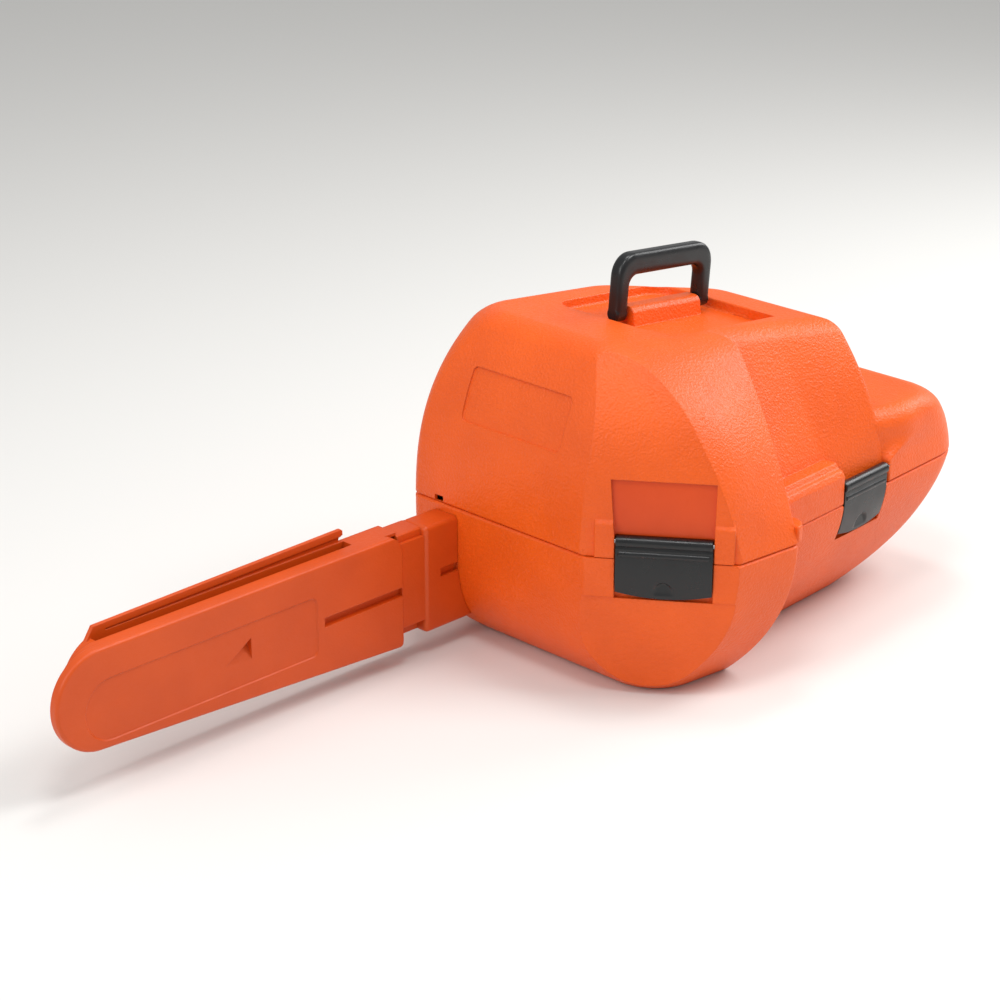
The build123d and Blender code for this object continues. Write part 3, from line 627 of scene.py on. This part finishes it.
def lid_shaded_field(k):
    """Test for the faces of the ungrained field above the front latch, which take a darker orange as painted shade
    for the recess.
    """
    corner = corner_frame(k).inverted()

    def test(at):
        c = corner @ at
        depth = c.z + flat_lean(c.y / k.lid_top)
        return -0.6 < c.y < 73 and -k.front_w / 2 - 6.5 < c.x < k.front_w / 2 + 1.7 and -7 < depth < -3.1
    return test


def lid_solid(k):
    outer = join(hump(k, 0.0, k.rim_bevel), tail(k, 0.0, k.rim_bevel))
    outer = cut(outer, lid_flat(k))
    outer = join(outer, cheek(k, -1), cheek(k, 1), boss(k), gusset(k))
    outer = join(cut(outer, field(k), recess(k), ramp(k)), ridge(k))
    outer = cut(outer, window(k))
    foot = k.part_z - 1
    hollow = join(hump(k, k.wall, foot=foot), tail(k, k.wall, foot=foot))
    hollow = cut(hollow, *[shape(k, k.wall) for shape in (lid_flat, field, recess, ramp)])
    hollow = join(hollow, boss(k, k.wall))
    hollow = cut(hollow, block(side_frame(k), k.side_w / 2, k.side_w / 2 + 14, 4, 30, -16, 4))
    shell = cut(outer, hollow)
    for pivot, width in latch_seats(k):
        shell = cut(shell, rod(pivot, -width / 2 - RUN_GAP, width / 2 + RUN_GAP, k.barrel + 0.6, count=48),
                    rod(pivot, -width / 2 - 9, width / 2 + 9, BORE_R, count=24))
    half = k.span / 2
    shell = cut(shell, rod(handle_pivot(k), -half, half, HANDLE_BORE_R, count=32))
    # small eye in the front wall, just above the rim
    return cut(shell, block(WORLD, k.front_x - 8, k.front_x + 12, 100, 111, k.part_z + 1, k.part_z + 7))


# ---- handle, latches and sheath ----

def handle_solid(h):
    """Bail handle: sections set square to the line of the bail, rounded and slightly waisted."""
    half, top = h.span / 2, h.rise - 0.4  # 0.4 mm keeps the rounded grip under the CAD's top
    ro, ri, square = 20.0, 11.0, 4.2
    outer, inner = [], []
    n = 12
    for i in range(9):
        outer.append((-half, (top - ro) * i / 8))
        inner.append((-half + h.leg, (top - h.grip - ri) * i / 8))
    for i in range(1, n + 1):
        a = math.pi - math.pi / 2 * i / n
        outer.append((-half + ro + ro * math.cos(a), top - ro + ro * math.sin(a)))
        inner.append((-half + h.leg + ri + ri * math.cos(a), top - h.grip - ri + ri * math.sin(a)))
    for i in range(1, 10):
        outer.append((-half + ro + (2 * half - 2 * ro) * i / 10, top))
        inner.append((-half + h.leg + ri + (2 * half - 2 * h.leg - 2 * ri) * i / 10, top - h.grip))
    outer += [(-x, z) for x, z in reversed(outer[:9 + n])]
    inner += [(-x, z) for x, z in reversed(inner[:9 + n])]
    m = handle_pivot(shells())
    rings = []
    for (ox, oz), (ix, iz) in zip(outer, inner):
        mid = Vector(((ox + ix) / 2, 0, (oz + iz) / 2))
        reach = Vector((ox - ix, 0, oz - iz)) / 2
        sec = []
        for j in range(36):
            a = 2 * math.pi * j / 36
            c, s = math.cos(a), math.sin(a)
            f = 1 / (abs(c) ** square + abs(s) ** square) ** (1 / square)
            sec.append(m @ (mid + reach * (c * f) + Vector((0, h.depth / 2 * s * f, 0))))
        rings.append(sec)
    body = loft(rings)
    for side in (-1, 1):
        x0, x1 = sorted((side * half, side * (half - h.leg)))
        body = join(body, rod(m, x0, x1, h.depth / 2, tip=1.6))
    return cut(body, rod(m, -half + 3, half - 3, HANDLE_BORE_R, count=32))


def latch_solid(k, pivot, width):
    """Over-edge latch: barrel, grip bar, bowed plate with a thumb dent, and its hook."""
    half, t = width / 2, sizes("case_latches").plate
    cols, rows = 56, 40

    def low_at(x):
        return -k.drop - k.bow * (1 - (x / half) ** 2)

    def front_at(u):
        return 1.0 + t + 1.9 * math.sin(math.pi * min(u, 1)) - 0.4 * u
    rings = []
    for i in range(rows + 1):
        u = i / rows
        front, back = [], []
        for j in range(cols + 1):
            x = -half + width * j / cols
            y = -5 + (low_at(x) + 5) * u
            z = front_at(u)
            v = (y - (low_at(0) + 3.5)) / 13.0
            if 0 < v < 1:
                # arched dent: steep under its rounded top, running out flat at the bottom
                z -= 3.2 * min(1, 4 * max(0, math.sqrt(max(0, 1 - v * v)) - abs(x) / 10.5)) * v ** 0.7
            front.append(pivot @ Vector((x, y, z)))
            back.append(pivot @ Vector((x, y, min(front_at(u) - t, z - 0.9))))
        rings.append(front + back[::-1])
    plate = softened(loft(rings), 0.55, 3, 50)
    grip = prism(pivot, -half, half, [(0.5, -8), (4.3, -8), (4.5, -5.8), (2.4, 0.6), (0.5, 1)])
    body = join(plate, rod(pivot, -half, half, k.barrel, tip=0.7, count=48), softened(grip, 0.5, 2, 50),
                rod(pivot, -half + 2.2, half - 2.2, 3.2, -10.6, 2.9, 40, 0.9))
    hook_w = half - 11
    body = join(body, prism(pivot, -hook_w, hook_w, [(2.6, -34), (-1.9, -34), (-1.9, -36), (2.6, -39.5)]))
    return cut(body, rod(pivot, -half - 1, half + 1, BORE_R, count=32))


def sheath_side(s, drop, x1, y0, y1, back=0.0, bevel=0.0):
    """Plate with the sheath's side outline, drawn in by drop, its round nose set back by back."""
    bottom = 20.0
    cz = s.top_z - s.nose_r
    cx = s.tip_x + s.nose_r + back

    def outline(d):
        r = s.nose_r - d
        pts = [(x1, s.top_z - d)]
        pts += [(cx + (x1 - cx) * (1 - i / 24), s.top_z - d) for i in range(1, 24)]
        pts += [(cx + r * math.cos(math.pi / 2 + math.pi * i / 40), cz + r * math.sin(math.pi / 2 + math.pi * i / 40))
                for i in range(41)]
        pts += [(cx + (x1 - cx) * i / 24, cz - r + (bottom + d - cz + r) * i / 24) for i in range(1, 25)]
        return pts

    steps = [(y0, drop + bevel)]
    if bevel:
        steps = [(y0 + bevel * (1 - math.cos(a)), drop + bevel * (1 - math.sin(a))) for a in
                 (0, 0.26, 0.52, 0.79, 1.05, 1.31, math.pi / 2)]
    steps.append((y1, drop))
    return loft([[(x, y, z) for x, z in outline(d)] for y, d in steps])


def xz_prism(points, y0, y1):
    return loft([[(x, y, z) for x, z in points] for y in (y0, y1)])


def sheath_solid(s):
    """Bar sheath: near panel, open slot, far rail, neck, collar and plug."""
    yn, yf = s.middle_y - s.width / 2, s.middle_y + s.width / 2
    ys, root = yn + 16, s.root_x
    end = xz_prism([(root - 14, s.top_z + 1)] + [(root - 14 + 14.5 * math.sin(a), s.top_z - 22 * (1 - math.cos(a)))
                                                 for a in (0, 0.3, 0.6, 0.9, 1.2, math.pi / 2)]
                   + [(root + 0.5, 30), (root - 0.5, 24), (root - 4, 19), (root + 4, 19), (root + 4, s.top_z + 1)],
                   yn - 1, yn + 9)
    body = join(cut(sheath_side(s, 0, root, yn, yn + 9, 0, 3.2), end), sheath_side(s, 0, root, yn + 8.9, ys, 9.0),
                sheath_side(s, 0, root, ys - 0.1, yf, 28.0))
    slot = join(sheath_side(s, 6, root - 40, ys, ys + s.bar_gap, 28.0),
                block(WORLD, s.tip_x + 58, root - 47, ys, ys + s.bar_gap, s.top_z - 30, s.top_z + 5))
    body = cut(body, slot, sheath_side(s, 3, root + 1, yn + 3, ys - 3, 9.0))
    rail = xz_prism([(s.tip_x + 44, s.top_z - 18), (s.tip_x + 61, s.top_z + 7), (root - 49, s.top_z + 12),
                     (root - 47, s.top_z + 10), (root - 47, s.top_z - 18)], ys + s.bar_gap, yf)
    catch = rod(frame_of((root - 47.5, yf, s.top_z + 2), (0, -1, 0), (0, 0, 1)), -20, 20, 4)
    groove = xz_prism([(s.tip_x + 60, s.top_z - 15), (s.tip_x + 74, s.top_z + 1), (root - 50, s.top_z + 5),
                       (root - 50, s.top_z - 12)], ys + s.bar_gap - 1, ys + s.bar_gap + 1.3)
    body = join(body, cut(softened(rail, 0.8, 2), catch, groove))
    collar_x, plug_x = -268, -188
    neck = block(WORLD, root - 4, collar_x + 4, yn + 13, yf, 26, s.top_z - 4)
    ledge = block(WORLD, root - 1, collar_x + 1, yn + 11.5, yf, 103, s.top_z - 4)
    shelf = softened(block(WORLD, root - 1, collar_x + 1, yn + 6.0, yf, 119, s.top_z - 2.5), 2.0, 3)
    collar = softened(block(WORLD, collar_x, plug_x + 1, yn, yf, 24, s.top_z - 2), 4.5, 5)
    k = shells()
    collar = cut(collar, base_body(k, -0.45))
    plug = block(WORLD, root - 4, plug_x, s.middle_y - PLUG_Y, s.middle_y + PLUG_Y, PLUG_MIDDLE - PLUG_Z,
                 PLUG_MIDDLE + PLUG_Z)
    bar = block(WORLD, root - 60, plug_x + 1, ys, ys + s.bar_gap, 42, 118)
    body = cut(join(body, neck, ledge, shelf, collar, plug), bar)
    # backing for the slot and the dent, so that they don't pierce the hollow panel
    body = join(body, block(WORLD, root - 98, root - 0.5, yn + 2.5, yn + 9, 68, 84),
                block(WORLD, -512, -471, yn + 2.5, yn + 9, 64, 93))
    keyway = block(WORLD, root - 95, root + 1, yn - 1, yn + 6.5, 71.5, 80.5)
    key = block(WORLD, -249, -226, yn - 1, yn + 5, 76, 84.5)
    r = 28
    plan = [(-654, 75 - r, r - 0.2), (-401, 75 - r, 6), (-401, 75 + r, 6), (-654, 75 + r, r - 0.2)]
    panel = [[(x, y, z) for x, z, _ in ring(inset(plan, more), level(0.0))]
             for y, more in ((yn - 1, -0.8), (yn, -0.8), (yn + 0.9, 0), (yn + 1.2, 0.5))]
    dent = loft([[(-476, yn + 1, 89), (-506, yn + 1, 70), (-476, yn + 1, 68)],
                 [(-476, yn + 7.5, 87), (-481, yn + 7.5, 84), (-476, yn + 7.5, 80)]])
    return cut(body, keyway, key, loft(panel), dent)


# ---- hinge knuckles, set out by Geometry Nodes ----

def add(tree, kind, links=None, **settings):
    """Adds a node with its settings; links gives each named input a value or a socket to read."""
    node = tree.nodes.new(kind)
    for key, value in settings.items():
        setattr(node, key, value)
    for key, value in (links or {}).items():
        if isinstance(value, bpy.types.NodeSocket):
            tree.links.new(value, node.inputs[key])
        else:
            node.inputs[key].default_value = value
    return node


def knuckle_tree(material):
    """Tree that repeats one knuckle along each hinge, and the hinges along the wall."""
    tree = bpy.data.node_groups.new("hinge_knuckle_rows", "GeometryNodeTree")
    face = tree.interface
    face.new_socket("Geometry", in_out="INPUT", socket_type="NodeSocketGeometry")
    for name, kind in (("Hinges", "NodeSocketInt"), ("Hinge spacing", "NodeSocketFloat"),
                       ("Knuckles", "NodeSocketInt"), ("Knuckle pitch", "NodeSocketFloat")):
        face.new_socket(name, in_out="INPUT", socket_type=kind)
    face.new_socket("Geometry", in_out="OUTPUT", socket_type="NodeSocketGeometry")
    given = add(tree, "NodeGroupInput").outputs
    reach = add(tree, "ShaderNodeCombineXYZ", {"X": given["Hinge spacing"]}).outputs[0]
    pitch = add(tree, "ShaderNodeCombineXYZ", {"X": given["Knuckle pitch"]}).outputs[0]
    hinges = add(tree, "GeometryNodeMeshLine", {"Count": given["Hinges"], "Offset": reach}).outputs[0]
    leaves = add(tree, "GeometryNodeMeshLine", {"Count": given["Knuckles"], "Offset": pitch}).outputs[0]
    rows = add(tree, "GeometryNodeInstanceOnPoints", {"Points": hinges, "Instance": leaves}).outputs[0]
    spots = add(tree, "GeometryNodeRealizeInstances", {"Geometry": rows}).outputs[0]
    all_of = add(tree, "GeometryNodeInstanceOnPoints", {"Points": spots, "Instance": given["Geometry"]}).outputs[0]
    solid = add(tree, "GeometryNodeRealizeInstances", {"Geometry": all_of}).outputs[0]
    done = add(tree, "GeometryNodeSetMaterial", {"Geometry": solid, "Material": material}).outputs[0]
    add(tree, "NodeGroupOutput", {"Geometry": done})
    return tree


def knuckle_row(name, k, sign, count, material, body):
    """Knuckles of one shell as one plain mesh."""
    first = Matrix.Translation((HINGE_X - (KNUCKLE if count == 2 else 0), k.far_y + HINGE_OUT, k.part_z))
    me = knuckle(k, sign)
    me.transform(first)
    me.transform(Matrix.Scale(0.001, 4))
    host = bpy.data.objects.new("host", me)
    bpy.context.collection.objects.link(host)
    mod = host.modifiers.new("rows", "NODES")
    tree = knuckle_tree(material)
    mod.node_group = tree
    values = {"Hinges": 2, "Hinge spacing": HINGE_SPACING / 1000, "Knuckles": count,
              "Knuckle pitch": 2 * KNUCKLE / 1000}
    for item in tree.interface.items_tree:
        if item.in_out == "INPUT" and item.name in values:
            mod[item.identifier] = values[item.name]
    done = bpy.data.meshes.new_from_object(host.evaluated_get(bpy.context.evaluated_depsgraph_get()))
    bpy.data.objects.remove(host)
    return placed(name, done, material, body, "orange_shell", scale=1.0)


def placed(name, me, material, body, slot, *nodes, angle=21, scale=0.001, plain=None):
    """Turns a solid into the named piece in metres, its shading smoothed, riding on its body. Its faces that the test
    named by plain picks out get the ungrained finish, whose darker orange is painted shade for the recessed field."""
    chosen = [bool(plain and plain(poly.center)) for poly in me.polygons]
    if scale != 1.0:
        me.transform(Matrix.Scale(scale, 4))
    me.name = name
    me.materials.clear()
    me.materials.append(material)
    # picked faces take the ungrained finish, its darker orange painted shade for the recessed field
    if plain:
        me.materials.append(finish_of("field_hdpe_orange_painted_shade"))
    for poly, shaded_bare in zip(me.polygons, chosen):
        poly.material_index = int(shaded_bare)
    me.shade_smooth()
    me.set_sharp_from_angle(angle=math.radians(angle))
    ob = bpy.data.objects.new(name, me)
    bpy.context.collection.objects.link(ob)
    # large faces keep their own direction, so that low creases stay crisp
    mod = ob.modifiers.new("faces first", "WEIGHTED_NORMAL")
    mod.keep_sharp, mod.weight = True, 60
    ob.data = bpy.data.meshes.new_from_object(ob.evaluated_get(bpy.context.evaluated_depsgraph_get()))
    ob.modifiers.clear()
    ob.data.name = name
    bpy.data.meshes.remove(me)
    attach(ob, body)
    if nodes:
        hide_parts(*nodes)
    return ob


# ---- materials ----

def new_material(name):
    mat = bpy.data.materials.new(name)
    mat.use_nodes = True
    mat.node_tree.nodes.clear()
    return mat, mat.node_tree


def moulded_orange(name, base, grain, depth, edge):
    """Injection-moulded high-density polyethylene: saturated through its whole thickness, a waxy
    half-gloss, and a spark-eroded leather grain that breaks highlights into mottles."""
    mat, tree = new_material(name)
    at = add(tree, "ShaderNodeTexCoord").outputs["Object"]
    # real grain cells are about 1 mm; drawn at about 2 mm so that they show at this distance
    cells = add(tree, "ShaderNodeTexVoronoi", {"Vector": at, "Scale": 1 / grain, "Smoothness": 0.7},
                feature="SMOOTH_F1").outputs["Distance"]
    mottle = add(tree, "ShaderNodeTexNoise", {"Vector": at, "Scale": 0.6 / grain, "Detail": 5.0,
                                              "Roughness": 0.6}).outputs["Fac"]
    height = add(tree, "ShaderNodeMath", {0: cells, 1: mottle}, operation="MULTIPLY").outputs[0]
    # uneven pigment and cooling over some 60 mm
    cloud = add(tree, "ShaderNodeTexNoise", {"Vector": at, "Scale": 16.0, "Detail": 2.0}).outputs["Fac"]
    shade = add(tree, "ShaderNodeValToRGB", {"Fac": cloud})
    dark, light = shade.color_ramp.elements
    dark.position, light.position = 0.3, 0.7
    dark.color = (base[0] * 0.93, base[1] * 0.90, base[2] * 0.90, 1)
    light.color = (base[0] * 1.03, base[1] * 1.05, base[2] * 1.08, 1)
    gloss = add(tree, "ShaderNodeMapRange", {"Value": mottle, "From Min": 0.3, "From Max": 0.7, "To Min": 0.36,
                                             "To Max": 0.50}).outputs[0]
    # moulded edges have a small radius
    round_edge = add(tree, "ShaderNodeBevel", {"Radius": edge}, samples=6).outputs[0]
    bump = add(tree, "ShaderNodeBump", {"Strength": depth, "Distance": 0.0016, "Height": height,
                                        "Normal": round_edge}).outputs[0]
    body = add(tree, "ShaderNodeBsdfPrincipled", {"Base Color": shade.outputs[0], "Roughness": gloss, "IOR": 1.54,
                                                  "Specular IOR Level": 0.36, "Normal": bump})
    add(tree, "ShaderNodeOutputMaterial", {"Surface": body.outputs[0]})
    return mat


def black_nylon(name, base):
    """Glass-filled nylon, moulded: near black, satin, with a very fine sparkle of fibre."""
    mat, tree = new_material(name)
    at = add(tree, "ShaderNodeTexCoord").outputs["Object"]
    # 0.3 mm fibre marks, drawn at 0.8 mm
    speck = add(tree, "ShaderNodeTexNoise", {"Vector": at, "Scale": 1250.0, "Detail": 2.0}).outputs["Fac"]
    haze = add(tree, "ShaderNodeTexNoise", {"Vector": at, "Scale": 60.0, "Detail": 3.0}).outputs["Fac"]
    gloss = add(tree, "ShaderNodeMapRange", {"Value": haze, "From Min": 0.3, "From Max": 0.7, "To Min": 0.25,
                                             "To Max": 0.37}).outputs[0]
    shade = add(tree, "ShaderNodeValToRGB", {"Fac": haze})
    shade.color_ramp.elements[0].color = (*[c * 0.8 for c in base], 1)
    shade.color_ramp.elements[1].color = (*[c * 1.35 for c in base], 1)
    round_edge = add(tree, "ShaderNodeBevel", {"Radius": 0.0006}, samples=4).outputs[0]
    bump = add(tree, "ShaderNodeBump", {"Strength": 0.12, "Distance": 0.0002, "Height": speck,
                                        "Normal": round_edge}).outputs[0]
    body = add(tree, "ShaderNodeBsdfPrincipled", {"Base Color": shade.outputs[0], "Roughness": gloss, "IOR": 1.52,
                                                  "Specular IOR Level": 0.45, "Normal": bump})
    add(tree, "ShaderNodeOutputMaterial", {"Surface": body.outputs[0]})
    return mat


def plated_steel(name, base):
    """Zinc-plated steel pin: bright and slightly cloudy, with fine marks."""
    mat, tree = new_material(name)
    at = add(tree, "ShaderNodeTexCoord").outputs["Object"]
    # 0.1 mm marks, drawn at 0.6 mm
    marks = add(tree, "ShaderNodeTexNoise", {"Vector": at, "Scale": 1600.0, "Detail": 1.0}).outputs["Fac"]
    gloss = add(tree, "ShaderNodeMapRange", {"Value": marks, "To Min": 0.2, "To Max": 0.38}).outputs[0]
    body = add(tree, "ShaderNodeBsdfPrincipled", {"Base Color": (*base, 1), "Metallic": 1.0, "Roughness": gloss})
    add(tree, "ShaderNodeOutputMaterial", {"Surface": body.outputs[0]})
    return mat


def matt_paper(name, base):
    """Matt studio paper: pale and even, with no shine."""
    mat, tree = new_material(name)
    body = add(tree, "ShaderNodeBsdfPrincipled", {"Base Color": (*base, 1), "Roughness": 0.95,
                                                  "Specular IOR Level": 0.1})
    add(tree, "ShaderNodeOutputMaterial", {"Surface": body.outputs[0]})
    return mat


def finish_of(kind):
    """The named finish, made once from the finish settings."""
    if kind in bpy.data.materials:
        return bpy.data.materials[kind]
    f = bpy.context.scene.case_finishes
    if kind == "moulded_hdpe_orange":
        return moulded_orange(kind, f.orange, f.grain, 0.6, 0.0013)
    # ungrained finish whose orange is darkened as painted shade for the recessed field
    if kind == "field_hdpe_orange_painted_shade":
        return moulded_orange(kind, f.smooth, f.grain, 0.06, 0.0012)
    if kind == "sheath_hdpe_orange":
        return moulded_orange(kind, f.sheath, f.grain, 0.10, 0.0010)
    if kind == "black_nylon":
        return black_nylon(kind, f.black)
    if kind == "zinc_plated_steel":
        return plated_steel(kind, f.steel)
    return matt_paper(kind, f.floor)


# ---- operators ----

class CASE_OT_stage(bpy.types.Operator):
    """Floor, soft studio light and camera"""
    bl_idname = "case.stage"
    bl_label = "Stage"

    def execute(self, context):
        bpy.ops.mesh.primitive_plane_add(size=16)
        floor = context.object
        floor.name = "studio_floor"
        floor.data.materials.append(finish_of("matt_studio_paper"))
        world = context.scene.world or bpy.data.worlds.new("studio")
        context.scene.world = world
        world.use_nodes = True
        sky = world.node_tree.nodes["Background"]
        sky.inputs[0].default_value = (1, 1, 1, 1)
        sky.inputs[1].default_value = 0.5
        context.scene.view_settings.view_transform = "Standard"
        for name, (place, power, width) in LAMPS.items():
            lamp = bpy.data.lights.new(name, "AREA")
            lamp.energy, lamp.size = power, width
            ob = bpy.data.objects.new(name, lamp)
            ob.location = place
            ob.rotation_euler = (Vector(LAMPS_AIM) - Vector(place)).to_track_quat("-Z", "Y").to_euler()
            context.collection.objects.link(ob)
        lens = bpy.data.cameras.new("camera")
        lens.sensor_width, lens.lens = 36, CAMERA_LENS
        lens.clip_end = 50
        camera = bpy.data.objects.new("camera", lens)
        a, e = math.radians(CAMERA_ROUND), math.radians(CAMERA_DOWN)
        look = Vector((math.cos(a) * math.cos(e), math.sin(a) * math.cos(e), -math.sin(e)))
        camera.location = CAMERA_PLACE
        camera.rotation_euler = look.to_track_quat("-Z", "Y").to_euler()
        context.collection.objects.link(camera)
        context.scene.camera = camera
        return {"FINISHED"}


class CASE_OT_base(bpy.types.Operator):
    """Base shell with its latch pockets, cradle ribs and sheath port"""
    bl_idname = "case.base"
    bl_label = "Base"

    def execute(self, context):
        k = shells()
        placed("case_base", base_solid(k), finish_of("moulded_hdpe_orange"), "base", "orange_shell", "base_shell")
        return {"FINISHED"}


class CASE_OT_lid(bpy.types.Operator):
    """Domed lid with its corner flat, latch cheeks and handle recess"""
    bl_idname = "case.lid"
    bl_label = "Lid"

    def execute(self, context):
        k = shells()
        placed("case_lid", lid_solid(k), finish_of("moulded_hdpe_orange"), "lid", "orange_shell", "lid_shell",
               plain=lid_shaded_field(k))
        return {"FINISHED"}


class CASE_OT_hinges(bpy.types.Operator):
    """Hinge knuckles of both shells"""
    bl_idname = "case.hinges"
    bl_label = "Hinge knuckles"

    def execute(self, context):
        k = shells()
        orange = finish_of("moulded_hdpe_orange")
        knuckle_row("base_knuckles", k, -1, 2, orange, "base")
        knuckle_row("lid_knuckles", k, 1, 1, orange, "lid")
        return {"FINISHED"}


class CASE_OT_handle(bpy.types.Operator):
    """Bail handle"""
    bl_idname = "case.handle"
    bl_label = "Handle"

    def execute(self, context):
        placed("bail_handle", handle_solid(sizes("case_handle")), finish_of("black_nylon"), "handle", "black_plastic",
               "handle", angle=40)
        return {"FINISHED"}


class CASE_OT_latches(bpy.types.Operator):
    """Front and side latches"""
    bl_idname = "case.latches"
    bl_label = "Latches"

    def execute(self, context):
        k = shells()
        black = finish_of("black_nylon")
        placed("latch_front", latch_solid(k, front_pivot(k), k.front_w), black, "front_latch", "black_plastic",
               "front_latch", angle=40)
        placed("latch_side", latch_solid(k, side_pivot(k), k.side_w), black, "side_latch", "black_plastic",
               "side_latch", angle=40)
        return {"FINISHED"}


class CASE_OT_sheath(bpy.types.Operator):
    """Bar sheath with its plug"""
    bl_idname = "case.sheath"
    bl_label = "Sheath"

    def execute(self, context):
        placed("bar_sheath", sheath_solid(sizes("case_sheath")), finish_of("sheath_hdpe_orange"), "sheath",
               "orange_shell", "sheath", angle=28)
        return {"FINISHED"}


class CASE_OT_pins(bpy.types.Operator):
    """Plated finish of the hinge, latch and handle pins"""
    bl_idname = "case.pins"
    bl_label = "Pins"

    def execute(self, context):
        for node in ("hinge_pins", "front_latch_pin", "side_latch_pin", "handle_pins"):
            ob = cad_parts[node]
            for slot in ob.material_slots:
                slot.material = finish_of("zinc_plated_steel")
        return {"FINISHED"}


OPERATORS = (CASE_OT_stage, CASE_OT_base, CASE_OT_lid, CASE_OT_hinges, CASE_OT_handle, CASE_OT_latches,
             CASE_OT_sheath, CASE_OT_pins)


class CASE_PT_panel(bpy.types.Panel):
    """Sizes, colours and pieces of the carrying case"""
    bl_idname = "CASE_PT_panel"
    bl_label = "Saw Case"
    bl_space_type = "VIEW_3D"
    bl_region_type = "UI"
    bl_category = "Saw Case"

    def draw(self, context):
        for name, group in GROUPS.items():
            box = self.layout.box()
            box.label(text=group.__name__)
            for key in group.__annotations__:
                box.prop(getattr(context.scene, name), key)
        for op in OPERATORS:
            self.layout.operator(op.bl_idname)


CLASSES = (*GROUPS.values(), *OPERATORS, CASE_PT_panel)


def register():
    for cls in CLASSES:
        bpy.utils.register_class(cls)
    for name, group in GROUPS.items():
        setattr(bpy.types.Scene, name, bpy.props.PointerProperty(type=group))


def unregister():
    for name in GROUPS:
        delattr(bpy.types.Scene, name)
    for cls in reversed(CLASSES):
        bpy.utils.unregister_class(cls)


def main():
    register()
    for op in OPERATORS:
        getattr(bpy.ops.case, op.bl_idname.split(".")[1])()


if __name__ == "__main__":
    main()
